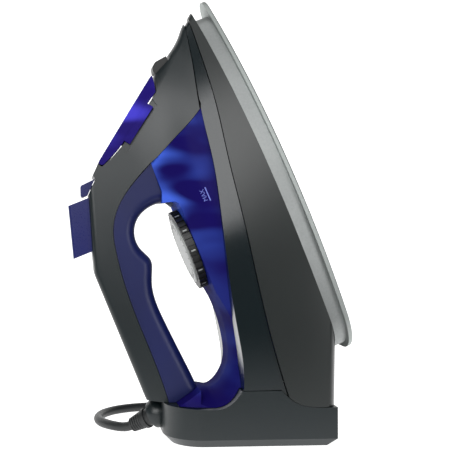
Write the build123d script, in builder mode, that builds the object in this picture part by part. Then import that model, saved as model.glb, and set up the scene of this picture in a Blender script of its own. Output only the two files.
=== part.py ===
"""Steam iron standing on its heel: heated sole, housing, water tank, handle, controls and cord."""

from build123d import *
import os
from math import cos, pi, radians, sin, sqrt, tan

# Stance: the sole leans back from the vertical, its rear edge held above the floor by the heel
LEAN = 22.25
SOLE_REAR_X = 92.2
SOLE_REAR_Z = 60.8

# Sole plan, measured along the sole from its rear edge towards the tip
SOLE_LENGTH = 250.0
SOLE_HALF_WIDTH = 57.8
SOLE_SIDE_RADIUS = 290.0
SOLE_CORNER = 34.0
WIDEST_STATION = 85.0
LIP_THICKNESS = 3.0
LIP_ROUND = 1.0
CASTING_INSET = 3.6
CASTING_HEIGHT = 9.0
CASTING_NOSE_SETBACK = 10.0

# Housing
WALL = 2.4
PARTING = 0.3
REAR_FACE_X = 78.5
BODY_CORNER = 24.0
NOSE_REACH = 5.3
NOSE_SLOPE = 0.79
SKIRT_LOW, SKIRT_HIGH = 8.0, 62.0
SKIRT_INSET_LOW, SKIRT_INSET_HIGH = 3.2, 8.6
BAND_LOW, BAND_HIGH = 8.0, 90.0
BAND_INSET_LOW, BAND_INSET_HIGH = 3.9, 14.5
BAND_SETBACK = 1.0
BAND_REAR = -60.0
SKIRT_BOW_LOW, SKIRT_BOW_HIGH = 450.0, 3000.0
BAND_BOW_LOW, BAND_BOW_HIGH = 900.0, 2000.0

# Heel, in upright coordinates
HEEL_FRONT_X = -32.0
HEEL_REAR_X = 76.3
HEEL_FRONT_HALF = 38.0
HEEL_REAR_HALF = 49.5
HEEL_FRONT_CORNER = 28.0
HEEL_REAR_CORNER = 26.0
HEEL_BEVEL = 5.5
HEEL_SEAM = 24.7
HEEL_STEP = 36.3

# Water tank under the handle
TANK_WALL = 2.2
TANK_FLOOR = 28.0
TANK_TOP = 70.5
FOOT_LOW, FOOT_HIGH = 20.0, 52.0
FOOT_INSET = 3.0
FOOT_TOP_HALF = 21.0
FOOT_TOP_X = -10.0
FOOT_TOP_LENGTH = 100.0
FOOT_TOP_CORNER = 12.0
TANK_LEVELS = [
    (24, 44.3, 206, 2, 276, 700, 20),
    (54, 43.0, 203, -6, 276, 700, 20),
    (66, 34.5, 195, -12, 276, 700, 20),
    (78, 24.2, 185, -18, 380, 1000, 17),
    (92, 22.0, 178, -22, 500, 1200, 16),
    (128, 20.5, 165, -30, 900, 2000, 14),
]

# Crown of the tank's top round the finger gap: share of the way round it, flat half width, drop at the side
CROWN_SECTIONS = [(0.0, 24.0, 0.8), (0.35, 12.0, 8.0), (1.0, 5.0, 12.0)]
CROWN_HALF = 40.0
CROWN_SHARE = 0.85
GAP_LINE = [(68.0, TANK_TOP), (32.0, 74.0), (16.0, 82.2), (10.0, 96.0), (14.4, 103.3)]

# Handle shell: height over the sole, half width, tip station and tip radius of each section
ARM_LEVELS = [
    (14, 47.3, 243.0, 6.5), (26, 46.6, 233.6, 9.5), (36, 45.0, 225.7, 12.4), (48, 39.5, 218.4, 15.0),
    (60, 31.0, 212.9, 16.0), (70, 24.6, 210.5, 16.5), (80, 21.0, 207.5, 16.6), (94, 19.6, 204.0, 16.6),
    (106, 19.0, 201.0, 16.5), (118, 18.7, 198.6, 16.4), (130, 18.4, 196.7, 16.3), (142, 18.2, 195.0, 16.2),
]
ARM_REAR = -60.0
ARM_BOW = 3000.0
ARM_CORNER = 12.0
BAR_ROUND = 3.5

# Filler door on the front arm
DOOR_SKIN = 2.0
HINGE_RADIUS = 2.0
PIN_RADIUS = 1.0
RUNNING = 0.05
LUG_HALF = 5.5
PIN_HALF = 13.0
TAB_PROUD = 1.0
SCOOP_DEPTH = 1.6
ARM_WALL = 3.0
MOUTH_RADIUS = 6.5
NECK_WALL = 1.8
MOUTH_ALONG = 33.0
SILL_DEPTH = 8.5
SEAL_RADIUS = 8.5

# Controls on the handle
BAR_OUTER = 137.3
BAR_END = 6.0
GRIP_HALF = 17.4
GRIP_ROUND = 6.5
BUTTON_HALF = 13.2
BUTTON_SPLIT = 0.4
BUTTON_GAP = 0.4
BUTTON_HEIGHT = 13.0
DECK_WALL = 3.0
PUMP_ALONG = 146.0
PUMP_ACROSS = 7.5
PUMP_RADIUS = 5.5
PUMP_LOW, PUMP_HIGH = 88.0, 108.0
PISTON_RADIUS = 2.5
PISTON_LOW, PISTON_HIGH = 98.0, 119.0
TUBE_RADIUS = 2.0
SLIDER_HALF = 8.0
SLIDER_TRAVEL = 8.0
SLIDER_ROUND = 1.2
CAM_SLOPE = 0.3
ROD_ALONG = 157.0
ROD_RADIUS = 2.0
ROD_HIGH = 108.7

# Temperature dial
DIAL_ALONG = 99.5
DIAL_RADIUS = 27.5
DIAL_FACE_RADIUS = 22.5
DIAL_LOW, DIAL_HIGH, DIAL_CROWN = 70.9, 76.1, 77.3
DIAL_TEETH = 36
FACE_ROUND = 1.0
SHAFT_RADIUS = 3.0
SLEEVE_RADIUS = 5.2

STEM_HALF = 2.0
STEM_GAP = 0.3
NECK_LENGTH = 24.0
NOZZLE_HALF = 6.0
NOZZLE_TAIL = 2.4
TAIL_LENGTH = 5.5
SCREW_X, SCREW_Y = -8.0, 14.0
SCREW_RADIUS = 2.0
SCREW_TOP = 31.5
BAY_REAR, BAY_FRONT, BAY_HALF, BAY_HIGH = 139.8, 153.0, 14.0, 130.0
SEAL_LOW = 6.0
SEAL_THICKNESS = 1.8
HOSE_ACROSS, HOSE_LEVEL = -11.0, 96.0
SPIGOT_LENGTH = 4.4
SPRING_OUTER, SPRING_INNER = 4.6, 3.4
BUTTON_SKIRT = 4.8
BUTTON_ROUND = 2.0
FLANGE_REACH = 0.9
FLANGE_FRONT, FLANGE_REAR = 136.0, 127.0
BUTTON_HOLLOW_LOW = 105.0
TUBE_BORE = 1.2
SUCTION_GAP = 8.0
SPIGOT_ROOT = 3.6
CAM_REAR = 154.8
CAM_HIGH = 114.5
CAM_THICKNESS = 4.4
DIAL_TOOTH = 0.9
THERMOSTAT_HIGH = 22.0

# Heating parts on the sole
CHAMBER_DEPTH = 5.0
CHAMBER_FRONT, CHAMBER_REAR, CHAMBER_HALF = 190.0, 28.0, 26.0
CHAMBER_SIDE, CHAMBER_BOW, CHAMBER_CORNER = 320.0, 900.0, 10.0
COVER_THICKNESS = 1.5
ELEMENT_RADIUS = 3.5
ELEMENT_LEVEL = 11.5
STEAM_HOLE = 1.3
HOLES_IN_ROW, HOLES_REAR, HOLE_STEP = 8, 104.0, 10.5
HOLE_ROW_HALF, HOLE_ROW_TAPER = 20.0, 1.9
THERMOSTAT_LENGTH, THERMOSTAT_WIDTH = 26.0, 16.0
FUSE_ALONG, FUSE_LENGTH, FUSE_WIDTH, FUSE_HEIGHT = 60.0, 22.0, 8.0, 5.0
COVER_RIM = 2.0

# Cord, its bush in the heel and the coil behind the iron
HEEL_WALL = 2.6
HEEL_FLOOR = 3.0
ROOF_SLOT_X, ROOF_SLOT_LENGTH, ROOF_SLOT_HALF = 36.0, 30.0, 16.0
SCREW_HEAD, HEAD_THICKNESS = 4.0, 2.6
BLOCK_LENGTH, BLOCK_WIDTH, BLOCK_RISE = 16.0, 30.0, 6.0
TERMINAL_BORE, TERMINAL_DEPTH, TERMINAL_PITCH = 2.6, 4.0, 9.5
CLAMP_WIDTH, CLAMP_LENGTH, CLAMP_RISE = 20.0, 9.0, 5.5
HEAD_LEVEL = 6.0
BALL = (-34.0, 0.0, 15.7)
BALL_RADIUS = 7.7
SOCKET_WALL = 1.8
SOCKET_MOUTH = 3.0
SOCKET_BLOCK = 14.0
BUSH_YAW, BUSH_DROP = 30.0, 27.3
SLEEVE_END, GUARD_END = 12.0, 21.0
BUSH_SLEEVE, BUSH_COLLAR = 6.0, 6.9
COLLAR_START, COLLAR_LENGTH = 8.0, 2.0
CORD_RADIUS = 3.2
GUARD_ROOT, GUARD_TIP = 5.4, 4.3
CLAMP_X = -2.0
CORD_LEVEL = 4.0
COIL_X, COIL_Y = 65.2, 119.0
COIL_RADIUS = 39.0
COIL_PITCH = 7.2
COIL_LAYER = 6.9
LAYER_TURNS = 1.5
COIL_TURNS = 7.25
COIL_SAMPLES = 600
COIL_LEAD = 7.5
TIE_ANGLE = 45.0
TIE_INNER, TIE_OUTER = 25.3, 41.9
TIE_GAP = 0.1
TIE_THICKNESS = 0.6
TIE_WIDTH = 7.0
TAIL_RUNS = [10.0, 12.0, 9.0]
TAIL_SHIFT = -1.5
PLUG_LEVEL = 18.2
PLUG_RADIUS = 18.0
PLUG_LENGTH = 31.0
PLUG_NECK, PLUG_NECK_WALL = 8.0, 1.2
PLUG_ROUND = 2.0
PLUG_PIN_RADIUS = 2.4
PLUG_PIN_LENGTH = 19.0
PIN_SPACING = 19.0

lean = radians(LEAN)
ALONG = (-sin(lean), 0, cos(lean))
OUT = (-cos(lean), 0, -sin(lean))
SOLE = Plane(origin=(SOLE_REAR_X, 0, SOLE_REAR_Z), x_dir=ALONG, z_dir=OUT)
SIDE = Plane(origin=SOLE.origin, x_dir=ALONG, z_dir=(0, -1, 0))
WIDE = 80.0
bush_yaw, bush_drop = radians(BUSH_YAW), radians(BUSH_DROP)
BUSH_AXIS = (-cos(bush_drop) * cos(bush_yaw), cos(bush_drop) * sin(bush_yaw), -sin(bush_drop))
BUSH = Plane(origin=BALL, z_dir=BUSH_AXIS)

os.makedirs("parts", exist_ok=True)


def nose(back, height):
    """A side-view point measured back from the tip of the sole."""
    return (SOLE_LENGTH - back, height)


def plan_outline(tip, rear, half_width, front_radius, rear_radius, corner):
    """Closed plan outline: round tip, bowed sides and a straight rear edge with round corners."""
    front_y = half_width - front_radius
    rear_y = half_width - rear_radius
    reach = tip - WIDEST_STATION
    tip_radius = (front_radius**2 - reach**2 - front_y**2) / (2 * (front_radius - reach))
    front_centre = Vector(WIDEST_STATION, front_y)
    rear_centre = Vector(WIDEST_STATION, rear_y)
    tip_centre = Vector(tip - tip_radius, 0)
    corner_x = rear + corner
    corner_y = rear_y + sqrt((rear_radius - corner) ** 2 - (corner_x - WIDEST_STATION) ** 2)
    corner_centre = Vector(corner_x, corner_y)
    shoulder = front_centre + (tip_centre - front_centre).normalized() * front_radius
    quarter = (corner_centre - rear_centre).normalized()
    hip = rear_centre + quarter * rear_radius
    middle = corner_centre + (quarter + Vector(-1, 0)).normalized() * corner
    with BuildLine() as outline:
        ThreePointArc((shoulder.X, -shoulder.Y), (tip, 0), (shoulder.X, shoulder.Y))
        for side in (1, -1):
            waist = (WIDEST_STATION, side * half_width)
            RadiusArc((shoulder.X, side * shoulder.Y), waist, -side * front_radius)
            RadiusArc(waist, (hip.X, side * hip.Y), -side * rear_radius)
            ThreePointArc((hip.X, side * hip.Y), (middle.X, side * middle.Y), (rear, side * corner_y))
        Line((rear, corner_y), (rear, -corner_y))
    make_face(outline.edges())


def sole_outline(inset):
    """Outline of the sole drawn in by an even inset."""
    radius = SOLE_SIDE_RADIUS - inset
    plan_outline(
        SOLE_LENGTH - inset, inset, SOLE_HALF_WIDTH - inset, radius, radius, SOLE_CORNER - inset
    )


def chamber_outline(inset):
    """Outline of the steam chamber in the casting."""
    plan_outline(
        CHAMBER_FRONT - inset, CHAMBER_REAR + inset, CHAMBER_HALF - inset,
        CHAMBER_SIDE - inset, CHAMBER_BOW - inset, CHAMBER_CORNER - inset,
    )


def nose_tip(height):
    """Where the housing's nose stands at a height over the sole."""
    return SOLE_LENGTH + NOSE_REACH - NOSE_SLOPE * height


def rear_edge(height, depth):
    """Where an upright rear face, set in by a depth, stands at a height over the sole."""
    return (SOLE_REAR_X - REAR_FACE_X + depth - cos(lean) * height) / sin(lean)


def skirt_form(depth):
    """Outer form of the lower skirt, drawn in by a depth."""
    with BuildPart() as form:
        with BuildSketch(SOLE.offset(SKIRT_LOW)):
            inset = SKIRT_INSET_LOW + depth
            radius = SOLE_SIDE_RADIUS - inset
            plan_outline(
                nose_tip(SKIRT_LOW) - depth, rear_edge(SKIRT_LOW, depth), SOLE_HALF_WIDTH - inset,
                radius, SKIRT_BOW_LOW, BODY_CORNER - depth,
            )
        with BuildSketch(SOLE.offset(SKIRT_HIGH)):
            inset = SKIRT_INSET_HIGH + depth
            radius = SOLE_SIDE_RADIUS - inset
            plan_outline(
                nose_tip(SKIRT_HIGH) - depth, rear_edge(SKIRT_HIGH, depth), SOLE_HALF_WIDTH - inset,
                radius, SKIRT_BOW_HIGH, BODY_CORNER - depth,
            )
        loft(ruled=True)
    return form.part


def heel_profile(gap, bottom):
    """Side outline of the heel down to a bottom, with its stepped seam raised by a gap."""
    seam = HEEL_SEAM + gap
    step = HEEL_STEP + gap
    with BuildLine() as outline:
        l1 = Polyline((-50, seam + 3.4), (-30, seam + 0.8), (-1, seam))
        l2 = Spline(l1 @ 1, (7.4, seam + 2.4), (15.6, step - 0.2), tangents=[(1, 0), (0.6, 1)])
        l3 = Line(l2 @ 1, (40.5, step))
        l4 = Spline(
            l3 @ 1, (44.7, step - 4), (49.2, seam + 4.2), (55, seam + 1.9), (HEEL_REAR_X + 6, seam + 1),
        )
        Polyline(l4 @ 1, (HEEL_REAR_X + 6, bottom), (-50, bottom), l1 @ 0)
    make_face(outline.edges())


def heel_plan(inset):
    """Plan of the heel, wider towards the sole."""
    with BuildLine() as outline:
        Polyline(
            (HEEL_FRONT_X + inset, -HEEL_FRONT_HALF + inset),
            (HEEL_REAR_X - inset, -HEEL_REAR_HALF + inset),
            (HEEL_REAR_X - inset, HEEL_REAR_HALF - inset),
            (HEEL_FRONT_X + inset, HEEL_FRONT_HALF - inset),
            close=True,
        )
    make_face(outline.edges())
    corners = vertices().sort_by(Axis.X)
    fillet(corners[:2], HEEL_FRONT_CORNER - inset)
    fillet(corners[2:], HEEL_REAR_CORNER - inset)


with BuildPart() as heel_room:
    with BuildSketch(Plane.XZ):
        heel_profile(PARTING, -WIDE)
    extrude(amount=WIDE, both=True)

steam_holes = [
    (HOLES_REAR + HOLE_STEP * step, side * (HOLE_ROW_HALF - HOLE_ROW_TAPER * step))
    for step in range(HOLES_IN_ROW) for side in (-1, 1)
]

with BuildPart() as soleplate:
    with BuildSketch(SOLE):
        sole_outline(0)
        with Locations(*steam_holes):
            Circle(STEAM_HOLE, mode=Mode.SUBTRACT)
    extrude(amount=LIP_THICKNESS)
    pressing_face = faces().sort_by(lambda face: SIDE.to_local_coords(face.center()).Y)[0]
    fillet(pressing_face.outer_wire().edges(), LIP_ROUND)
soleplate.part.label = "soleplate"
export_step(soleplate.part, "parts/soleplate.step")

with BuildPart() as heating_element:
    with BuildLine(SOLE.offset(ELEMENT_LEVEL)) as element_path:
        FilletPolyline(
            (16, -27), (70, -38), (150, -30), (205, -11), (205, 11), (150, 30), (70, 38), (16, 27),
            radius=[60, 60, 9, 9, 60, 60],
        )
    with BuildSketch(Plane(origin=element_path.line @ 0, z_dir=element_path.line % 0)):
        Circle(ELEMENT_RADIUS)
    sweep(path=element_path.line)
heating_element.part.label = "heating_element"
export_step(heating_element.part, "parts/heating_element.step")

with BuildPart() as element_channel:
    with BuildSketch(Plane(origin=element_path.line @ 0, z_dir=element_path.line % 0)):
        Circle(ELEMENT_RADIUS + RUNNING)
    sweep(path=element_path.line)

with BuildPart() as heater_casting:
    with BuildSketch(SOLE.offset(LIP_THICKNESS)):
        radius = SOLE_SIDE_RADIUS - CASTING_INSET
        plan_outline(
            SOLE_LENGTH - CASTING_NOSE_SETBACK, CASTING_INSET, SOLE_HALF_WIDTH - CASTING_INSET,
            radius, radius, SOLE_CORNER - CASTING_INSET,
        )
    extrude(amount=CASTING_HEIGHT)
    with BuildSketch(SOLE.offset(LIP_THICKNESS + CASTING_HEIGHT)):
        chamber_outline(0)
    extrude(amount=-CHAMBER_DEPTH, mode=Mode.SUBTRACT)
    with BuildSketch(SOLE.offset(LIP_THICKNESS)):
        with Locations(*steam_holes):
            Circle(STEAM_HOLE)
    extrude(amount=CASTING_HEIGHT, mode=Mode.SUBTRACT)
    add(element_channel.part, mode=Mode.SUBTRACT)
heater_casting.part.label = "heater_casting"
export_step(heater_casting.part, "parts/heater_casting.step")

with BuildPart() as steam_chamber_cover:
    with BuildSketch(SOLE.offset(LIP_THICKNESS + CASTING_HEIGHT)):
        chamber_outline(-COVER_RIM)
        with Locations((ROD_ALONG, 0), (PUMP_ALONG, PUMP_ACROSS)):
            Circle(TUBE_BORE, mode=Mode.SUBTRACT)
    extrude(amount=COVER_THICKNESS)
steam_chamber_cover.part.label = "steam_chamber_cover"
export_step(steam_chamber_cover.part, "parts/steam_chamber_cover.step")

SKIRT_BASE = LIP_THICKNESS + CASTING_HEIGHT


def groove_line(gap):
    """Slanted parting line between the skirt and the band."""
    points = [
        nose(-6, 13.2), nose(39.7, 20.3), nose(69.9, 25.4), nose(104.5, 32.8), nose(140.9, 38.9),
        (69, 45.5), (34, 50.6), (4, 53.6), (-20, 55),
    ]
    return Spline(*[(along, height + gap) for along, height in points])


def shoulder_line(gap):
    """Parting line between the band and the tank and handle shell above it."""
    points = [
        nose(-4, 15.8), nose(13.6, 20), nose(35.3, 25.5), nose(68.7, 35.2), nose(103.5, 42.4),
        nose(130.2, 49.5), (75, 61.7), (44, 68.6), (19.7, 74), (5, 79.5), (-25, 95),
    ]
    return Spline(*[(along, height + gap) for along, height in points])


with BuildPart() as lower_skirt:
    add(skirt_form(0))
    with BuildSketch(SIDE):
        with BuildLine():
            edge = groove_line(0)
            Polyline(edge @ 1, (-90, 55), (-90, SKIRT_BASE), nose(-6, SKIRT_BASE), edge @ 0)
        make_face()
    extrude(amount=WIDE, both=True, mode=Mode.INTERSECT)
    add(skirt_form(WALL), mode=Mode.SUBTRACT)
    add(heel_room.part, mode=Mode.SUBTRACT)
lower_skirt.part.label = "lower_skirt"
export_step(lower_skirt.part, "parts/lower_skirt.step")

with BuildPart() as heel_cover:
    with BuildSketch(Plane.XZ):
        heel_profile(0, 0)
    extrude(amount=WIDE, both=True)
    with BuildSketch(Plane.XY):
        heel_plan(0)
    extrude(amount=WIDE, mode=Mode.INTERSECT)
    chamfer(faces().sort_by(Axis.Z)[0].edges(), HEEL_BEVEL)
    with BuildSketch(Plane.XY.offset(HEEL_FLOOR)):
        heel_plan(HEEL_BEVEL + HEEL_WALL)
        with Locations((HEEL_FRONT_X + HEEL_WALL, 0)):
            Rectangle(2 * SOCKET_BLOCK, WIDE, mode=Mode.SUBTRACT)
        with Locations((SCREW_X, SCREW_Y), (SCREW_X, -SCREW_Y)):
            Circle(SCREW_HEAD + HEEL_WALL, mode=Mode.SUBTRACT)
    extrude(amount=HEEL_SEAM - HEEL_WALL - HEEL_FLOOR, mode=Mode.SUBTRACT)
    with BuildSketch(Plane.XY.offset(HEEL_FLOOR)):
        with Locations((ROOF_SLOT_X, 0)):
            Rectangle(ROOF_SLOT_LENGTH, 2 * ROOF_SLOT_HALF)
    extrude(amount=WIDE, mode=Mode.SUBTRACT)
    with Locations(BALL):
        Sphere(BALL_RADIUS + PARTING + SOCKET_WALL)
    with BuildSketch(BUSH.offset(SOCKET_MOUTH)):
        Circle(SOCKET_WALL * 10)
    extrude(amount=WIDE, mode=Mode.SUBTRACT)
    with Locations(BALL):
        Sphere(BALL_RADIUS + PARTING, mode=Mode.SUBTRACT)
    with BuildSketch(Plane.YZ.offset(BALL[0])):
        with Locations((0, BALL[2])):
            Circle(CORD_RADIUS + PARTING)
    extrude(amount=SOCKET_BLOCK + 12, mode=Mode.SUBTRACT)
    with Locations((SCREW_X, SCREW_Y), (SCREW_X, -SCREW_Y)):
        Cylinder(SCREW_RADIUS + PARTING, WIDE, mode=Mode.SUBTRACT)
        Cylinder(SCREW_HEAD + PARTING, 2 * HEAD_LEVEL, mode=Mode.SUBTRACT)
heel_cover.part.label = "heel_cover"
export_step(heel_cover.part, "parts/heel_cover.step")


# Glossy band between the skirt and the tank
def band_form(depth):
    """Outer form of the body band, drawn in by a depth."""
    with BuildPart() as form:
        with BuildSketch(SOLE.offset(BAND_LOW)):
            inset = BAND_INSET_LOW + depth
            plan_outline(
                nose_tip(BAND_LOW) - BAND_SETBACK - depth, BAND_REAR, SOLE_HALF_WIDTH - inset,
                SOLE_SIDE_RADIUS - inset, BAND_BOW_LOW, BODY_CORNER - depth,
            )
        with BuildSketch(SOLE.offset(BAND_HIGH)):
            inset = BAND_INSET_HIGH + depth
            plan_outline(
                nose_tip(BAND_HIGH) - BAND_SETBACK - depth, BAND_REAR, SOLE_HALF_WIDTH - inset,
                SOLE_SIDE_RADIUS - inset, BAND_BOW_HIGH, BODY_CORNER - depth,
            )
        loft(ruled=True)
    return form.part


# Handle: side-view lines shared by the shell, the grip and the tank
def arm_edge(gap):
    """Rear edge of the shell on the front arm, where it meets the tank."""
    points = [(67.7, 34.8), (74, 45.8), (80, 58.6), (86.3, 71.7), (88.1, 76.5)]
    return Spline(*[nose(back - gap, height) for back, height in points])


def grip_edge(gap):
    """Line along the handle where the shell meets the grip."""
    return Spline(
        nose(88.1 - gap, 76.5 + gap), nose(96.8 - gap, 93.3 + gap), nose(110.3, 110 + gap),
        nose(119.2, 115.3 + gap), nose(133.7, 119.1 + gap), nose(159, 122.2 + gap),
        (46, 123 + gap), (6, 125.5 + gap),
    )


def side_radius(tip, half_width, tip_radius):
    """Radius of the bowed sides that run smoothly into a round tip."""
    reach = tip - WIDEST_STATION - tip_radius
    return (reach**2 + half_width**2 - tip_radius**2) / (2 * (half_width - tip_radius))


def arm_form(depth):
    """Outer form of the handle shell, narrowing from the nose to the handle bar."""
    with BuildPart() as form:
        for height, half_width, tip, tip_radius in ARM_LEVELS:
            radius = side_radius(tip, half_width, tip_radius)
            with BuildSketch(SOLE.offset(height)):
                plan_outline(
                    tip - depth, ARM_REAR + depth, half_width - depth,
                    radius - depth, ARM_BOW, ARM_CORNER - depth,
                )
        loft()
    return form.part


door_front = SIDE.from_local_coords(nose(33.2, 52.2))
door_rear = SIDE.from_local_coords(nose(75.4, 108.2))
DOOR = Plane(origin=door_front, x_dir=door_rear - door_front, z_dir=(0, -1, 0))
HINGE_ALONG = (door_rear - door_front).length - HINGE_RADIUS
SLIDE_FRONT = nose(84.4, 113.3)
DECK_FRONT = nose(92.5, 121.6)
DECK_REAR = nose(127.7, 133.2)
slide_front = SIDE.from_local_coords(SLIDE_FRONT)
deck_front = SIDE.from_local_coords(DECK_FRONT)
SLIDE = Plane(origin=slide_front, x_dir=deck_front - slide_front, z_dir=(0, -1, 0))


def over_sole(shape):
    """Height over the sole of the middle of an edge or a face."""
    return SIDE.to_local_coords(shape.center()).Y


def in_side(plane, along, depth):
    """Side-view point of a place on a slanted face and at a depth under it."""
    point = SIDE.to_local_coords(plane.from_local_coords((along, depth)))
    return (point.X, point.Y)


def side_solid(points, half_width):
    """A side outline carried to both sides of the middle plane."""
    with BuildPart() as form:
        with BuildSketch(SIDE):
            with BuildLine():
                Polyline(*points, close=True)
            make_face()
        extrude(amount=half_width, both=True)
    return form.part


def beside_middle(across):
    """The side plane, moved sideways from the middle plane."""
    return Plane(origin=SIDE.origin + Vector(0, across, 0), x_dir=ALONG, z_dir=(0, -1, 0))


def post(along, across, radius, low, high):
    """A round post standing off the sole between two heights."""
    with BuildPart() as form:
        with BuildSketch(SOLE.offset(low)):
            with Locations((along, across)):
                Circle(radius)
        extrude(amount=high - low)
    return form.part


def deck(along):
    """Height of the button deck at a station along the sole."""
    share = (DECK_FRONT[0] - along) / (DECK_FRONT[0] - DECK_REAR[0])
    return DECK_FRONT[1] + share * (DECK_REAR[1] - DECK_FRONT[1])


def tank_form(depth):
    """Outer form of the tank, drawn in by a depth."""
    with BuildPart() as form:
        for height, half_width, tip, rear, front_radius, rear_radius, corner in TANK_LEVELS:
            with BuildSketch(SOLE.offset(height)):
                plan_outline(
                    tip - depth, rear + depth, half_width - depth,
                    front_radius - depth, rear_radius - depth, corner - depth,
                )
        loft()
    return form.part


def foot_form(depth):
    """Foot of the tank, spreading from the handle's width to the heel's."""
    with BuildPart() as form:
        with BuildSketch(Plane.XY.offset(FOOT_LOW)):
            heel_plan(FOOT_INSET + depth)
        with BuildSketch(Plane.XY.offset(FOOT_HIGH)):
            with Locations((FOOT_TOP_X, 0)):
                RectangleRounded(FOOT_TOP_LENGTH, 2 * (FOOT_TOP_HALF - depth), FOOT_TOP_CORNER)
        loft(ruled=True)
    return form.part


with BuildPart() as under_shelf:
    with BuildSketch(SIDE):
        with BuildLine():
            edge = shoulder_line(-WALL)
            Polyline(edge @ 1, (-90, 92), (-90, 0), nose(-10, 0), edge @ 0)
        make_face()
    extrude(amount=WIDE, both=True)

with BuildPart() as band_hollow:
    add(band_form(WALL))
    add(under_shelf.part, mode=Mode.INTERSECT)

with BuildPart() as body_band:
    add(band_form(0))
    with BuildSketch(SIDE):
        with BuildLine():
            low = groove_line(PARTING)
            high = shoulder_line(0)
            Line(low @ 0, high @ 0)
            Line(low @ 1, high @ 1)
        make_face()
    extrude(amount=WIDE, both=True, mode=Mode.INTERSECT)
    add(band_hollow.part, mode=Mode.SUBTRACT)
    add(tank_form(-PARTING), mode=Mode.SUBTRACT)
    add(foot_form(-PARTING), mode=Mode.SUBTRACT)
    add(heel_room.part, mode=Mode.SUBTRACT)
body_band.part.label = "body_band"
export_step(body_band.part, "parts/body_band.step")

with BuildPart() as shoulder_room:
    with BuildSketch(SIDE):
        with BuildLine():
            edge = shoulder_line(PARTING)
            Polyline(edge @ 1, (-25, -20), nose(-4, -20), edge @ 0)
        make_face()
    extrude(amount=WIDE, both=True)

MOUTH = Plane(origin=DOOR.from_local_coords((MOUTH_ALONG, 0)), x_dir=DOOR.x_dir, z_dir=DOOR.y_dir)
SILL = [(10.2, 8.6), (21, SILL_DEPTH), (51.6, 7.8), (61, 6.3), (66.5, 5.0), (71, 3.6), (71, 0.4)]

with BuildPart() as arm_room:
    add(arm_form(ARM_WALL))
    with BuildSketch(SIDE):
        with BuildLine():
            Polyline(
                nose(16, 5), nose(22, 27), nose(30.5, 34.3), nose(37.5, 48.2), nose(47.5, 52.4),
                in_side(DOOR, 21, SILL_DEPTH + ARM_WALL), in_side(DOOR, 52, 7.8 + ARM_WALL),
                in_side(DOOR, 62, 6.3 + ARM_WALL), nose(82.7, 105.5), in_side(SLIDE, 0, ARM_WALL),
                (156.6, deck(156.6) - DECK_WALL), (DECK_REAR[0], DECK_REAR[1] - DECK_WALL),
                nose(143.8, BAR_OUTER - DECK_WALL),
                (34, BAR_OUTER - DECK_WALL), (34, 112), (110, 108), (138, 96), (152, 66), (170, 5),
                close=True,
            )
        make_face()
    extrude(amount=WIDE, both=True, mode=Mode.INTERSECT)

BUTTON_FRONT, BUTTON_REAR = 156.0, 123.0
well = [
    (BUTTON_FRONT + BUTTON_GAP, 110), (BUTTON_FRONT + BUTTON_GAP, 150),
    (BUTTON_REAR - BUTTON_GAP, 150), (BUTTON_REAR - BUTTON_GAP, 110),
]
stem_slot = [in_side(SLIDE, x, y) for x, y in [(4.0, -2), (7.6, -2), (7.6, 5), (4.0, 5)]]
scoop = [in_side(DOOR, x, y) for x, y in [(14, 5), (57, 5), (55, 12.8), (18, 13.4)]]
lug = [
    in_side(DOOR, HINGE_ALONG + x, HINGE_RADIUS + y)
    for x, y in [(0, -1.7), (3.6, -1.2), (3.6, 1.6), (0, 2)]
]
hinge_line = DOOR.from_local_coords((HINGE_ALONG, HINGE_RADIUS))
HINGE = Plane(origin=hinge_line, x_dir=DOOR.x_dir, z_dir=(0, -1, 0))
with BuildPart() as scoop_cut:
    add(side_solid(scoop, WIDE))
    add(arm_form(SCOOP_DEPTH), mode=Mode.SUBTRACT)

nozzle_seat = nose(31.3, 44.2)
seat_front = SIDE.from_local_coords(nose(28, 37.3))
seat_rear = SIDE.from_local_coords(nose(34.6, 51))
NOZZLE = Plane(
    origin=SIDE.from_local_coords(nozzle_seat), x_dir=(0, 1, 0),
    z_dir=(seat_rear - seat_front).cross(Vector(0, 1, 0)),
)


def on_bar_rim(edge):
    """Whether an edge runs along the outer side of the handle bar and the button deck."""
    ends = [SIDE.to_local_coords(edge @ share) for share in (0, 0.5, 1)]
    along = abs(ends[0].X - ends[2].X) > 1
    outer = ends[1].Y > deck(min(DECK_FRONT[0], max(DECK_REAR[0], ends[1].X))) - 1
    return along and outer and ends[1].X < DECK_FRONT[0] and abs(ends[1].Z) > BUTTON_HALF


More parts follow.
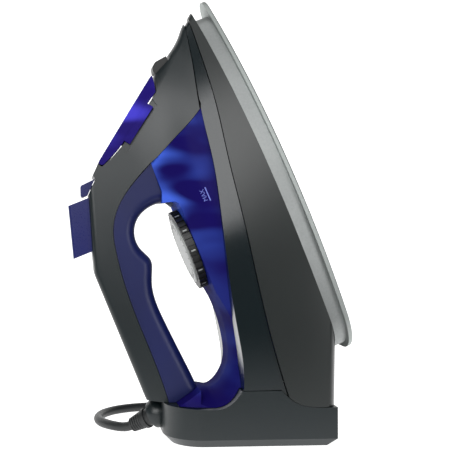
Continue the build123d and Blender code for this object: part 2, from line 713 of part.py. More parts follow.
with BuildPart() as handle_shell:
    add(arm_form(0))
    with BuildSketch(SIDE):
        with BuildLine():
            edge = arm_edge(PARTING)
            crest = grip_edge(PARTING)
            Line(edge @ 1, crest @ 0)
            bar = Polyline(crest @ 1, (BAR_END, BAR_OUTER), nose(143.8, BAR_OUTER))
            rise = Spline(
                bar @ 1, nose(135.9, 135.6), DECK_REAR,
                tangents=[(1, 0), Vector(*DECK_FRONT) - Vector(*DECK_REAR)],
            )
            Polyline(
                rise @ 1, DECK_FRONT, SLIDE_FRONT, nose(81.8, 114.4),
                *[in_side(DOOR, x, y) for x, y in reversed(SILL)],
                nose(34.6, 51), nose(28, 37.3), nose(-8, 37.3), nose(-8, 8), nose(60, 20), edge @ 0,
            )
        make_face()
    extrude(amount=WIDE, both=True, mode=Mode.INTERSECT)
    fillet(edges().filter_by(on_bar_rim), BAR_ROUND)
    add(shoulder_room.part, mode=Mode.SUBTRACT)
    add(arm_room.part, mode=Mode.SUBTRACT)
    add(heel_room.part, mode=Mode.SUBTRACT)
    add(side_solid(well, BUTTON_HALF + BUTTON_GAP), mode=Mode.SUBTRACT)
    add(side_solid(stem_slot, SLIDER_TRAVEL - STEM_HALF + STEM_GAP), mode=Mode.SUBTRACT)
    add(scoop_cut.part, mode=Mode.SUBTRACT)
    add(side_solid(lug, LUG_HALF))
    with BuildSketch(HINGE):
        Circle(HINGE_RADIUS)
    extrude(amount=LUG_HALF, both=True)
    with BuildSketch(HINGE):
        Circle(PIN_RADIUS)
    extrude(amount=PIN_HALF + RUNNING, both=True, mode=Mode.SUBTRACT)
    with BuildSketch(MOUTH.offset(SILL_DEPTH - 2)):
        Circle(MOUTH_RADIUS + NECK_WALL + PARTING)
    extrude(amount=ARM_WALL + 4, mode=Mode.SUBTRACT)
    with BuildSketch(NOZZLE.offset(-1)):
        Circle(NOZZLE_TAIL + RUNNING)
    extrude(amount=ARM_WALL + 4, mode=Mode.SUBTRACT)
handle_shell.part.label = "handle_shell"
export_step(handle_shell.part, "parts/handle_shell.step")


def crown_cut(depth):
    """What rounds off the sides of the tank's top round the finger gap, sunk by a depth."""
    along, out = Vector(*ALONG), Vector(*OUT)
    with BuildPart() as form:
        with BuildLine() as path:
            Spline(
                *[SIDE.from_local_coords(point) for point in GAP_LINE], tangents=[-along, along * 0.5 + out],
            )
        line = path.wires()[0]
        sections = []
        for share, flat, drop in CROWN_SECTIONS:
            low, side = drop + depth, CROWN_SHARE * drop + depth
            with BuildSketch(Plane(origin=line @ share, x_dir=(0, 1, 0), z_dir=line % share)) as section:
                with BuildLine():
                    Polyline((WIDE, low), (WIDE, -WALL), (-WIDE, -WALL), (-WIDE, low))
                    Spline(
                        (-WIDE, low), (-CROWN_HALF, side), (-flat, depth),
                        (flat, depth), (CROWN_HALF, side), (WIDE, low),
                    )
                make_face()
            sections.append(section.sketch)
        sweep(sections=sections, path=line, multisection=True)
    return form.part


with BuildPart() as tank_room:
    add(tank_form(TANK_WALL))
    with BuildSketch(SIDE):
        with BuildLine():
            Polyline(
                (42, TANK_FLOOR + TANK_WALL), (177.3, TANK_FLOOR + TANK_WALL), (178.8, 34.6), (167.4, 58.3),
                (160, 73.2), (141, 74.2), (137, 75.2), (135.3, TANK_TOP - TANK_WALL),
                (66, TANK_TOP - TANK_WALL), (31, 71.4), (20, 75.5), (13, 73), (14, 64), close=True,
            )
        make_face()
    extrude(amount=WIDE, both=True, mode=Mode.INTERSECT)
    add(crown_cut(TANK_WALL), mode=Mode.SUBTRACT)

with BuildPart() as tank_side:
    with BuildSketch(SIDE):
        with BuildLine():
            front = arm_edge(0)
            Polyline(front @ 1, nose(108, 77.2), nose(114.7, 79.7), (133, 72), (131, TANK_TOP), GAP_LINE[0])
            gap = Spline(*GAP_LINE, tangents=[(-1, 0), (0.5, 1)])
            Polyline(
                gap @ 1, (10.4, 123.5), (-6, 86), (8, 62), (36, TANK_FLOOR), (180, TANK_FLOOR), front @ 0,
            )
        make_face()
    extrude(amount=WIDE, both=True)

with BuildPart() as tank_foot:
    add(foot_form(0))
    add(tank_side.part, mode=Mode.INTERSECT)

with BuildPart() as water_tank:
    add(tank_form(0))
    add(tank_side.part, mode=Mode.INTERSECT)
    add(tank_foot.part)
    add(crown_cut(0), mode=Mode.SUBTRACT)
    add(heel_room.part, mode=Mode.SUBTRACT)
    add(tank_room.part, mode=Mode.SUBTRACT)
    add(post(DIAL_ALONG, 0, SLEEVE_RADIUS, TANK_FLOOR, TANK_TOP))
    with BuildSketch(MOUTH.offset(SILL_DEPTH)):
        Circle(MOUTH_RADIUS + NECK_WALL + RUNNING)
    extrude(amount=NECK_LENGTH + 2, mode=Mode.SUBTRACT)
    add(post(DIAL_ALONG, 0, SHAFT_RADIUS + RUNNING, 0, 100), mode=Mode.SUBTRACT)
    add(post(ROD_ALONG, 0, ROD_RADIUS + RUNNING, 0, 100), mode=Mode.SUBTRACT)
    add(post(PUMP_ALONG, -PUMP_ACROSS, TUBE_RADIUS + RUNNING, 50, 100), mode=Mode.SUBTRACT)
    add(post(PUMP_ALONG, PUMP_ACROSS, TUBE_RADIUS + RUNNING, 0, 100), mode=Mode.SUBTRACT)
    with Locations(*[(SCREW_X, side * SCREW_Y, HEEL_SEAM - 2) for side in (-1, 1)]):
        Cylinder(
            SCREW_RADIUS + RUNNING, SCREW_TOP - HEEL_SEAM + 2.5,
            align=(Align.CENTER, Align.CENTER, Align.MIN), mode=Mode.SUBTRACT,
        )
water_tank.part.label = "water_tank"
export_step(water_tank.part, "parts/water_tank.step")

with BuildPart() as filler_neck:
    with BuildSketch(MOUTH.offset(SILL_DEPTH + 0.5)):
        Circle(MOUTH_RADIUS + NECK_WALL)
        Circle(MOUTH_RADIUS, mode=Mode.SUBTRACT)
    extrude(amount=NECK_LENGTH)
filler_neck.part.label = "filler_neck"
export_step(filler_neck.part, "parts/filler_neck.step")

pump_bay = [(BAY_REAR, PUMP_LOW), (BAY_FRONT, PUMP_LOW), (BAY_FRONT, BAY_HIGH), (BAY_REAR, BAY_HIGH)]

with BuildPart() as handle_grip:
    with BuildSketch(SIDE):
        with BuildLine():
            crest = grip_edge(0)
            Polyline(crest @ 0, nose(108, 77.5), nose(114.6, 80.0))
            Spline(
                nose(114.6, 80.0), (134.9, 91), (130.9, 98.4), (122.5, 103.6), (111.7, 103.2), (103, 100),
                (95.5, 102.2), (87.6, 105.4), (63, 106.9), (33.4, 104.7), (14.8, 103.6),
            )
            Polyline((14.8, 103.6), (10.7, 123.9), crest @ 1)
        make_face()
    extrude(amount=GRIP_HALF, both=True)
    inner = edges().filter_by(lambda edge: edge.length > 80).sort_by(over_sole)
    fillet(inner[:2], GRIP_ROUND)
    add(heel_room.part, mode=Mode.SUBTRACT)
    add(side_solid(pump_bay, BAY_HALF), mode=Mode.SUBTRACT)
    add(post(ROD_ALONG, 0, ROD_RADIUS + PARTING, 60, 120), mode=Mode.SUBTRACT)
    for side in (-1, 1):
        add(post(PUMP_ALONG, side * PUMP_ACROSS, TUBE_RADIUS + RUNNING, 60, 120), mode=Mode.SUBTRACT)
handle_grip.part.label = "handle_grip"
export_step(handle_grip.part, "parts/handle_grip.step")

# Filler door: a hollow cap with finger tabs over the sides of the arm, hinged at its upper end
tab = [in_side(DOOR, x, y) for x, y in [(20.4, 11.8), (49.1, 11.3), (49.1, 6.6), (20.4, 6.9)]]
door_hollow = [in_side(DOOR, x, y) for x, y in [(13, DOOR_SKIN), (63, DOOR_SKIN), (60, 12), (12, 12)]]
hinge_notch = [
    in_side(DOOR, HINGE_ALONG + x, y)
    for x, y in [(-HINGE_RADIUS - 0.5, -1), (8, -1), (8, 9), (-HINGE_RADIUS - 0.5, 9)]
]

with BuildPart() as tab_form:
    add(arm_form(-TAB_PROUD))
    add(side_solid(tab, WIDE), mode=Mode.INTERSECT)
    add(arm_form(SCOOP_DEPTH - PARTING), mode=Mode.SUBTRACT)

with BuildPart() as hollow_form:
    add(arm_form(DOOR_SKIN - PARTING))
    add(side_solid(door_hollow, WIDE), mode=Mode.INTERSECT)

with BuildPart() as fill_door:
    add(arm_form(-PARTING))
    with BuildSketch(DOOR):
        with BuildLine():
            top = Line((0, 0), (HINGE_ALONG, 0))
            end = ThreePointArc(
                top @ 1, (HINGE_ALONG + HINGE_RADIUS, HINGE_RADIUS), (HINGE_ALONG, 2 * HINGE_RADIUS)
            )
            Polyline(end @ 1, (61, 5.6), (51.6, 7.1), (21, 7.5), (10.7, 8.1), top @ 0)
        make_face()
    extrude(amount=WIDE, both=True, mode=Mode.INTERSECT)
    add(hollow_form.part, mode=Mode.SUBTRACT)
    add(tab_form.part)
    add(side_solid(hinge_notch, LUG_HALF + 0.5), mode=Mode.SUBTRACT)
    with BuildSketch(HINGE):
        Circle(PIN_RADIUS + RUNNING)
    extrude(amount=PIN_HALF + 2 * RUNNING, both=True, mode=Mode.SUBTRACT)
    with BuildSketch(MOUTH.offset(DOOR_SKIN - 0.5)):
        Circle(SEAL_RADIUS - 1.5)
    extrude(amount=SEAL_LOW - DOOR_SKIN + 0.5)
fill_door.part.label = "fill_door"
export_step(fill_door.part, "parts/fill_door.step")

with BuildPart() as door_pin:
    with BuildSketch(HINGE):
        Circle(PIN_RADIUS)
    extrude(amount=PIN_HALF, both=True)
door_pin.part.label = "door_pin"
export_step(door_pin.part, "parts/door_pin.step")

with BuildPart() as door_seal:
    with BuildSketch(MOUTH.offset(SEAL_LOW)):
        Circle(SEAL_RADIUS)
    extrude(amount=SEAL_THICKNESS)
    chamfer(edges().sort_by(lambda edge: DOOR.to_local_coords(edge.center()).Y)[-1], 0.6)
door_seal.part.label = "door_seal"
export_step(door_seal.part, "parts/door_seal.step")

# Spray nozzle on the step of the nose, with its tail through the wall
nozzle_side = [
    nose(28.6, 38.6), nose(25.6, 39.2), nose(26.8, 47.4), nose(28.9, 50.2), nose(33, 51.2), nose(34.1, 50),
]

with BuildPart() as spray_nozzle:
    add(side_solid(nozzle_side, NOZZLE_HALF))
    chamfer(edges().filter_by(Axis.Y).sort_by(Axis.X)[:2], 0.6)
    with BuildSketch(NOZZLE):
        Circle(NOZZLE_TAIL)
    extrude(amount=TAIL_LENGTH)
spray_nozzle.part.label = "spray_nozzle"
export_step(spray_nozzle.part, "parts/spray_nozzle.step")

# Pumps with their pistons and return springs, one under each button
for side, kind in ((-1, "spray"), (1, "steam")):
    across = side * PUMP_ACROSS

    with BuildPart() as pump:
        add(post(PUMP_ALONG, across, PUMP_RADIUS, PUMP_LOW, PUMP_HIGH))
        add(post(PUMP_ALONG, across, PISTON_RADIUS + RUNNING, PUMP_LOW + 3, PUMP_HIGH), mode=Mode.SUBTRACT)
        if kind == "spray":
            spigot = SOLE.from_local_coords((PUMP_ALONG + SPIGOT_ROOT, HOSE_ACROSS, HOSE_LEVEL))
            with BuildSketch(Plane(origin=spigot, x_dir=(0, 1, 0), z_dir=ALONG)):
                Circle(TUBE_RADIUS)
            extrude(amount=SPIGOT_LENGTH)
    pump.part.label = kind + "_pump"
    export_step(pump.part, "parts/" + kind + "_pump.step")

    with BuildPart() as piston:
        add(post(PUMP_ALONG, across, PISTON_RADIUS, PISTON_LOW, PISTON_HIGH))
    piston.part.label = kind + "_piston"
    export_step(piston.part, "parts/" + kind + "_piston.step")

    with BuildPart() as spring:
        add(post(PUMP_ALONG, across, SPRING_OUTER, PUMP_HIGH, PISTON_HIGH))
        add(post(PUMP_ALONG, across, SPRING_INNER, PUMP_HIGH, PISTON_HIGH), mode=Mode.SUBTRACT)
    spring.part.label = kind + "_spring"
    export_step(spring.part, "parts/" + kind + "_spring.step")

    with BuildPart() as button:
        with BuildSketch(beside_middle(side * BUTTON_SPLIT)):
            with BuildLine():
                Polyline(
                    (BUTTON_FRONT, deck(BUTTON_FRONT) - 1),
                    (BUTTON_FRONT, deck(BUTTON_FRONT) + BUTTON_HEIGHT + 1),
                    (BUTTON_REAR, deck(BUTTON_REAR) + BUTTON_HEIGHT),
                    (BUTTON_REAR, deck(BUTTON_REAR) - BUTTON_SKIRT),
                    (BUTTON_FRONT - 2.5, deck(BUTTON_FRONT - 2.5) - BUTTON_SKIRT), close=True,
                )
            make_face()
        extrude(amount=-side * (BUTTON_HALF - BUTTON_SPLIT))
        rim = edges().filter_by(Axis.Y, reverse=True).sort_by(over_sole)
        fillet(rim[-2:], BUTTON_ROUND)
        with BuildSketch(beside_middle(side * (BUTTON_SPLIT + DOOR_SKIN))):
            with BuildLine():
                Polyline(
                    (BUTTON_FRONT - DOOR_SKIN, BUTTON_HOLLOW_LOW),
                    (BUTTON_FRONT - DOOR_SKIN, deck(BUTTON_FRONT) + BUTTON_HEIGHT - 1),
                    (BUTTON_REAR + DOOR_SKIN, deck(BUTTON_REAR) + BUTTON_HEIGHT - DOOR_SKIN - 0.8),
                    (BUTTON_REAR + DOOR_SKIN, BUTTON_HOLLOW_LOW), close=True,
                )
            make_face()
        extrude(amount=-side * (BUTTON_HALF - BUTTON_SPLIT - 2 * DOOR_SKIN), mode=Mode.SUBTRACT)
        add(post(PUMP_ALONG, across, SPRING_OUTER, PISTON_HIGH, deck(PUMP_ALONG) + BUTTON_HEIGHT - 1.5))
        with BuildSketch(beside_middle(side * (BUTTON_HALF - 1))):
            with BuildLine():
                Polyline(
                    (FLANGE_FRONT, deck(FLANGE_FRONT) - DECK_WALL - PARTING),
                    (FLANGE_REAR, deck(FLANGE_REAR) - DECK_WALL - PARTING),
                    (FLANGE_REAR, deck(FLANGE_REAR) - BUTTON_SKIRT),
                    (FLANGE_FRONT, deck(FLANGE_FRONT) - BUTTON_SKIRT), close=True,
                )
            make_face()
        extrude(amount=-side * (FLANGE_REACH + 1))
    button.part.label = kind + "_button"
    export_step(button.part, "parts/" + kind + "_button.step")

# Tubes from the tank to the pumps and on to the nozzle and the steam chamber
with BuildPart() as spray_suction_tube:
    add(post(PUMP_ALONG, -PUMP_ACROSS, TUBE_RADIUS, TANK_FLOOR + SUCTION_GAP, PUMP_LOW))
    add(post(PUMP_ALONG, -PUMP_ACROSS, TUBE_BORE, TANK_FLOOR + SUCTION_GAP, PUMP_LOW), mode=Mode.SUBTRACT)
spray_suction_tube.part.label = "spray_suction_tube"
export_step(spray_suction_tube.part, "parts/spray_suction_tube.step")

with BuildPart() as steam_feed_tube:
    add(post(PUMP_ALONG, PUMP_ACROSS, TUBE_RADIUS, SKIRT_BASE + COVER_THICKNESS, PUMP_LOW))
    add(post(PUMP_ALONG, PUMP_ACROSS, TUBE_BORE, SKIRT_BASE + COVER_THICKNESS, PUMP_LOW), mode=Mode.SUBTRACT)
steam_feed_tube.part.label = "steam_feed_tube"
export_step(steam_feed_tube.part, "parts/steam_feed_tube.step")

# Steam slider on the front face of the deck, with the cam that lifts the dosing rod
slider_block = [nose(84.1, 113.7), nose(84.9, 124), nose(92.4, 126.8), nose(92.3, 122.0)]
slider_stem = [in_side(SLIDE, x, y) for x, y in [(4.3, -2), (7.3, -2), (7.3, 8), (4.3, 8)]]

with BuildPart() as steam_slider:
    add(side_solid(slider_block, SLIDER_HALF))
    fillet(edges().filter_by(Axis.Y).sort_by(over_sole)[-2:], SLIDER_ROUND)
    add(side_solid(slider_stem, STEM_HALF))
    with BuildSketch(Plane(origin=SOLE.from_local_coords((CAM_REAR, 0, 0)), x_dir=(0, 1, 0), z_dir=ALONG)):
        with BuildLine():
            Polyline(
                (-SLIDER_HALF, CAM_HIGH), (SLIDER_HALF, CAM_HIGH),
                (SLIDER_HALF, ROD_HIGH + PARTING - CAM_SLOPE * (SLIDER_HALF - SLIDER_TRAVEL / 2)),
                (-SLIDER_HALF, ROD_HIGH + PARTING + CAM_SLOPE * (SLIDER_HALF + SLIDER_TRAVEL / 2)),
                close=True,
            )
        make_face()
    extrude(amount=CAM_THICKNESS)
steam_slider.part = Pos(0, -SLIDER_TRAVEL / 2, 0) * steam_slider.part
steam_slider.part.label = "steam_slider"
export_step(steam_slider.part, "parts/steam_slider.step")

with BuildPart() as valve_rod:
    add(post(ROD_ALONG, 0, ROD_RADIUS, TANK_FLOOR + PARTING, ROD_HIGH))
    fillet(edges().sort_by(over_sole)[-1], ROD_RADIUS - 0.1)
valve_rod.part.label = "valve_rod"
export_step(valve_rod.part, "parts/valve_rod.step")

with BuildPart() as valve_seat:
    add(post(ROD_ALONG, 0, ROD_RADIUS + 2.5, SKIRT_BASE + COVER_THICKNESS, TANK_FLOOR))
    add(post(ROD_ALONG, 0, ROD_RADIUS - 0.8, SKIRT_BASE + COVER_THICKNESS, TANK_FLOOR), mode=Mode.SUBTRACT)
valve_seat.part.label = "valve_seat"
export_step(valve_seat.part, "parts/valve_seat.step")

# Temperature dial and its shaft down to the thermostat
with BuildPart() as temperature_dial:
    with BuildSketch(SOLE.offset(DIAL_LOW)):
        with Locations((DIAL_ALONG, 0)):
            Circle(DIAL_RADIUS - DIAL_TOOTH)
            with PolarLocations(DIAL_RADIUS - DIAL_TOOTH, DIAL_TEETH):
                Rectangle(2 * DIAL_TOOTH, pi * DIAL_RADIUS / DIAL_TEETH)
    extrude(amount=DIAL_HIGH - DIAL_LOW)
temperature_dial.part.label = "temperature_dial"
export_step(temperature_dial.part, "parts/temperature_dial.step")

with BuildPart() as dial_face:
    add(post(DIAL_ALONG, 0, DIAL_FACE_RADIUS, DIAL_HIGH, DIAL_CROWN))
    fillet(faces().sort_by(over_sole)[-1].edges(), FACE_ROUND)
dial_face.part.label = "dial_face"
export_step(dial_face.part, "parts/dial_face.step")

with BuildPart() as dial_shaft:
    add(post(DIAL_ALONG, 0, SHAFT_RADIUS, THERMOSTAT_HIGH, DIAL_LOW))
dial_shaft.part.label = "dial_shaft"
export_step(dial_shaft.part, "parts/dial_shaft.step")

with BuildPart() as dial_marker:
    add(side_solid([(131.8, 71.1), (133.0, 72.0), (134.25, 76.2), (129.6, 73.4)], 1.5))
dial_marker.part.label = "dial_marker"
export_step(dial_marker.part, "parts/dial_marker.step")

# Thermostat and fuse on the chamber cover
with BuildPart() as thermostat:
    with BuildSketch(SOLE.offset(SKIRT_BASE + COVER_THICKNESS)):
        with Locations((DIAL_ALONG, 0)):
            Rectangle(THERMOSTAT_LENGTH, THERMOSTAT_WIDTH)
    extrude(amount=THERMOSTAT_HIGH - SKIRT_BASE - COVER_THICKNESS)
    chamfer(edges().filter_by(Plane(origin=(0, 0, 0), z_dir=OUT)).sort_by(Axis.X)[:4], 1)
thermostat.part.label = "thermostat"
export_step(thermostat.part, "parts/thermostat.step")

with BuildPart() as thermal_fuse:
    with BuildSketch(SOLE.offset(SKIRT_BASE + COVER_THICKNESS)):
        with Locations((FUSE_ALONG, 0)):
            SlotOverall(FUSE_LENGTH, FUSE_WIDTH)
    extrude(amount=FUSE_HEIGHT)
thermal_fuse.part.label = "thermal_fuse"
export_step(thermal_fuse.part, "parts/thermal_fuse.step")

# Spray hose from the pump to the nozzle, beside the filler neck
hose_start = SOLE.from_local_coords((PUMP_ALONG + SPIGOT_ROOT + SPIGOT_LENGTH, HOSE_ACROSS, HOSE_LEVEL))
hose_end = NOZZLE.from_local_coords((0, 0, TAIL_LENGTH))
hose_last = NOZZLE.from_local_coords((0, 0, TAIL_LENGTH + 8))

with BuildPart() as spray_hose:
    with BuildLine() as hose_path:
        FilletPolyline(
            hose_start, hose_start + Vector(*ALONG) * 10, SOLE.from_local_coords((192, HOSE_ACROSS, 57)),
            hose_last, hose_end, radius=[9, 30, 4.2],
        )
    with BuildSketch(Plane(origin=hose_start, z_dir=hose_path.line % 0)):
        Circle(TUBE_RADIUS)
        Circle(TUBE_BORE, mode=Mode.SUBTRACT)
    sweep(path=hose_path.line)
spray_hose.part.label = "spray_hose"
export_step(spray_hose.part, "parts/spray_hose.step")

# Screws, terminal block and clamp in the heel
with BuildPart() as heel_screws:
    with Locations((SCREW_X, SCREW_Y, HEAD_LEVEL), (SCREW_X, -SCREW_Y, HEAD_LEVEL)):
        Cylinder(SCREW_RADIUS, SCREW_TOP - HEAD_LEVEL, align=(Align.CENTER, Align.CENTER, Align.MIN))
        Cylinder(SCREW_HEAD, HEAD_THICKNESS, align=(Align.CENTER, Align.CENTER, Align.MAX))
heel_screws.part.label = "heel_screws"
export_step(heel_screws.part, "parts/heel_screws.step")

with BuildPart() as terminal_block:
    with BuildSketch(Plane.XY.offset(HEEL_FLOOR)):
        with Locations((ROOF_SLOT_X, 0)):
            Rectangle(BLOCK_LENGTH, BLOCK_WIDTH)
    extrude(amount=BALL[2] + BLOCK_RISE - HEEL_FLOOR)
    with BuildSketch(Plane.XY.offset(BALL[2] + BLOCK_RISE)):
        with GridLocations(1, TERMINAL_PITCH, 1, 3):
            with Locations((ROOF_SLOT_X, 0)):
                Circle(TERMINAL_BORE)
    extrude(amount=-TERMINAL_DEPTH, mode=Mode.SUBTRACT)
terminal_block.part.label = "terminal_block"
export_step(terminal_block.part, "parts/terminal_block.step")

with BuildPart() as cord_clamp:
    with BuildSketch(Plane.YZ.offset(CLAMP_X)):
        with Locations((0, HEEL_FLOOR)):
            Rectangle(CLAMP_WIDTH, BALL[2] + CLAMP_RISE - HEEL_FLOOR, align=(Align.CENTER, Align.MIN))
        with Locations((0, BALL[2])):
            Circle(CORD_RADIUS + RUNNING, mode=Mode.SUBTRACT)
    extrude(amount=CLAMP_LENGTH)
cord_clamp.part.label = "cord_clamp"
export_step(cord_clamp.part, "parts/cord_clamp.step")

with BuildPart() as inner_cord:
    with BuildSketch(Plane.YZ.offset(BALL[0] + BALL_RADIUS + 1)):
        with Locations((0, BALL[2])):
            Circle(CORD_RADIUS)
    extrude(amount=ROOF_SLOT_X - BLOCK_LENGTH / 2 - BALL[0] - BALL_RADIUS - 1)
inner_cord.part.label = "inner_cord"
export_step(inner_cord.part, "parts/inner_cord.step")

# Swivelling cord bush with its guard
with BuildPart() as cord_bush:
    with Locations(BALL):
        Sphere(BALL_RADIUS)
    with BuildSketch(BUSH):
        Circle(BUSH_SLEEVE)
    extrude(amount=SLEEVE_END)
    with BuildSketch(BUSH.offset(COLLAR_START)):
        Circle(BUSH_COLLAR)
    extrude(amount=COLLAR_LENGTH)
cord_bush.part.label = "cord_bush"
export_step(cord_bush.part, "parts/cord_bush.step")

with BuildPart() as cord_guard:
    with BuildSketch(BUSH.offset(SLEEVE_END)):
        Circle(GUARD_ROOT)
    with BuildSketch(BUSH.offset(GUARD_END)):
        Circle(GUARD_TIP)
    loft()
cord_guard.part.label = "cord_guard"
export_step(cord_guard.part, "parts/cord_guard.step")

# Free cord: from the guard along the floor and round behind the iron
CORD_ROUTE = [
    (-63.1, 18.7), (-71.3, 32.4), (-72.2, 49.4), (-65.0, 64.8), (-51.4, 75.0), (-31.7, 78.5), (-3.7, 79.7),
    (26.0, 80.0),
]
guard_end = BUSH.from_local_coords((0, 0, GUARD_END))
drop = (guard_end.Z - CORD_LEVEL) / sin(bush_drop)
landing = BUSH.from_local_coords((0, 0, GUARD_END + drop))
coil_start = Vector(COIL_X - COIL_LEAD, COIL_Y - COIL_RADIUS, CORD_LEVEL)
route = [guard_end, landing, *[Vector(x, y, CORD_LEVEL) for x, y in CORD_ROUTE], coil_start]


def bend_radii(points):
    """As large a radius for each corner of a route as its two runs allow."""
    radii = []
    for before, corner, after in zip(points, points[1:], points[2:]):
        turn = radians((corner - before).get_angle(after - corner))
        run = min((corner - before).length, (after - corner).length)
        radii.append(0.45 * run / tan(turn / 2))
    return radii


def free_tube(points):
    """A length of cord along a route of straight runs and tangent arcs."""
    radii = bend_radii(points)
    with BuildPart() as tube:
        with BuildLine() as path:
            FilletPolyline(*points, radius=radii)
        with BuildSketch(Plane(origin=points[0], z_dir=points[1] - points[0])):
            Circle(CORD_RADIUS)
        sweep(path=path.line)
    return tube.part


with BuildPart() as cord_lead:
    add(free_tube(route))
cord_lead.part.label = "cord_lead"
export_step(cord_lead.part, "parts/cord_lead.step")


# Coil of four layers, spiralling in and out and climbing a layer at each reversal
def coil_place(turn):
    """Centre of the cord after a number of turns round the coil."""
    layer, along = divmod(turn, LAYER_TURNS + 0.5)
    inward = layer % 2 == 0
    rise = 0.0
    if along <= LAYER_TURNS:
        step = along
    else:
        share = (along - LAYER_TURNS) / 0.5
        step = LAYER_TURNS + 0.5 * share * (1 - share)
        rise = share**2 * (3 - 2 * share)
    radius = COIL_RADIUS - COIL_PITCH * (step if inward else LAYER_TURNS - step)
    angle = 2 * pi * turn - pi / 2
    height = CORD_LEVEL + COIL_LAYER * (layer + rise)
    return Vector(COIL_X + radius * cos(angle), COIL_Y + radius * sin(angle), height)


def coil_heading(turn):
    """Direction of the cord after a number of turns round the coil."""
    return (coil_place(turn + 0.001) - coil_place(max(turn - 0.001, 0))).normalized()


def biarc(start, start_heading, end, end_heading):
    """Two arcs that leave one place and reach another in given directions."""
    across = end - start
    both = start_heading + end_heading
    spread = 2 * (1 - start_heading.dot(end_heading))
    reach = (-across.dot(both) + sqrt(across.dot(both) ** 2 + spread * across.dot(across))) / spread
    first = start + start_heading * reach
    second = end - end_heading * reach
    middle = (first + second) * 0.5
    TangentArc(start, middle, tangent=start_heading)
    TangentArc(middle, end, tangent=second - first)


turns = [0.25 * quarter for quarter in range(int(COIL_TURNS / 0.25) + 1)]
coil_end = coil_place(COIL_TURNS) + coil_heading(COIL_TURNS) * 2 * CORD_RADIUS

with BuildPart() as cord_coil:
    with BuildLine() as coil_path:
        Line(coil_start, coil_place(0))
        for first, second in zip(turns, turns[1:]):
            heading = Vector(1, 0, 0) if first == 0 else coil_heading(first)
            biarc(coil_place(first), heading, coil_place(second), coil_heading(second))
        Line(coil_place(COIL_TURNS), coil_end)
    with BuildSketch(Plane(origin=coil_start, z_dir=(1, 0, 0))):
        Circle(CORD_RADIUS)
    sweep(path=coil_path.wires()[0])
cord_coil.part.label = "cord_coil"
export_step(cord_coil.part, "parts/cord_coil.step")

samples = [coil_path.wires()[0] @ (step / COIL_SAMPLES) for step in range(COIL_SAMPLES + 1)]
half_turn = int(COIL_SAMPLES / COIL_TURNS / 2)
nearest = min(
    (samples[one] - samples[two]).length
    for one in range(COIL_SAMPLES + 1) for two in range(one + half_turn, COIL_SAMPLES + 1)
)
print("coil gap", round(nearest - 2 * CORD_RADIUS, 2), "length", round(coil_path.wires()[0].length))

tail_heading = coil_heading(COIL_TURNS)
tail_bend = coil_end + tail_heading * TAIL_RUNS[0]
tail_level = Vector(tail_bend.X + TAIL_SHIFT, tail_bend.Y + TAIL_RUNS[1], PLUG_LEVEL)
plug_end = tail_level + Vector(0, TAIL_RUNS[2], 0)
tail_route = [coil_end, tail_bend, tail_level, plug_end]

with BuildPart() as cord_tail:
    add(free_tube(tail_route))
cord_tail.part.label = "cord_tail"
export_step(cord_tail.part, "parts/cord_tail.step")

# Strap round the coil, and the plug beside it
with BuildPart() as coil_tie:
    coil_top = CORD_LEVEL + 3 * COIL_LAYER + CORD_RADIUS + TIE_GAP
    coil_bottom = CORD_LEVEL - CORD_RADIUS - TIE_GAP
    radial = Vector(1, 0, 0).rotate(Axis.Z, TIE_ANGLE)
    with BuildSketch(Plane(
        origin=Vector(COIL_X, COIL_Y, (coil_top + coil_bottom) / 2) + radial * (TIE_INNER + TIE_OUTER) / 2,
        x_dir=radial, z_dir=radial.cross(Vector(0, 0, 1)),
    )):
        Rectangle(TIE_OUTER - TIE_INNER + 2 * TIE_THICKNESS, coil_top - coil_bottom + 2 * TIE_THICKNESS)
        Rectangle(TIE_OUTER - TIE_INNER, coil_top - coil_bottom, mode=Mode.SUBTRACT)
    extrude(amount=TIE_WIDTH / 2, both=True)
coil_tie.part.label = "coil_tie"
export_step(coil_tie.part, "parts/coil_tie.step")

PLUG = Plane(origin=plug_end, x_dir=(0, 0, 1), z_dir=(-1, 0, 0))

with BuildPart() as mains_plug:
    with BuildSketch(PLUG):
        with BuildLine():
            neck = Polyline(
                (0, 0), (CORD_RADIUS + PLUG_NECK_WALL, 0), (CORD_RADIUS + 2 * PLUG_NECK_WALL, PLUG_NECK),
            )
            flare = Spline(
                neck @ 1, (0.7 * PLUG_RADIUS, 0.43 * PLUG_LENGTH), (PLUG_RADIUS, 0.68 * PLUG_LENGTH),
                tangents=[(PLUG_NECK_WALL, PLUG_NECK), (0, 1)],
            )
            side = Line(flare @ 1, (PLUG_RADIUS, PLUG_LENGTH - PLUG_ROUND))
            rim = CenterArc((PLUG_RADIUS - PLUG_ROUND, PLUG_LENGTH - PLUG_ROUND), PLUG_ROUND, 0, 90)
            Polyline(rim @ 1, (0, PLUG_LENGTH), neck @ 0)
        make_face()
    revolve(axis=Axis(plug_end, (0, 1, 0)))
mains_plug.part.label = "mains_plug"
export_step(mains_plug.part, "parts/mains_plug.step")

with BuildPart() as plug_pins:
    with BuildSketch(Plane(origin=plug_end + Vector(0, PLUG_LENGTH, 0), x_dir=(1, 0, 0), z_dir=(0, 1, 0))):
        with GridLocations(PIN_SPACING, 1, 2, 1):
            Circle(PLUG_PIN_RADIUS)
    extrude(amount=PLUG_PIN_LENGTH)
    fillet(faces().sort_by(Axis.Y)[-2:].edges(), PLUG_PIN_RADIUS - 0.4)
plug_pins.part.label = "plug_pins"
export_step(plug_pins.part, "parts/plug_pins.step")
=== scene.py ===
"""Looks of a corded steam iron that stands on its heel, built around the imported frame."""
import logging
from dataclasses import dataclass
from enum import Enum
from math import cos, pi, radians, sin
from typing import Any, Sequence

import bmesh
import bpy
from mathutils import Matrix, Vector
from mathutils.bvhtree import BVHTree


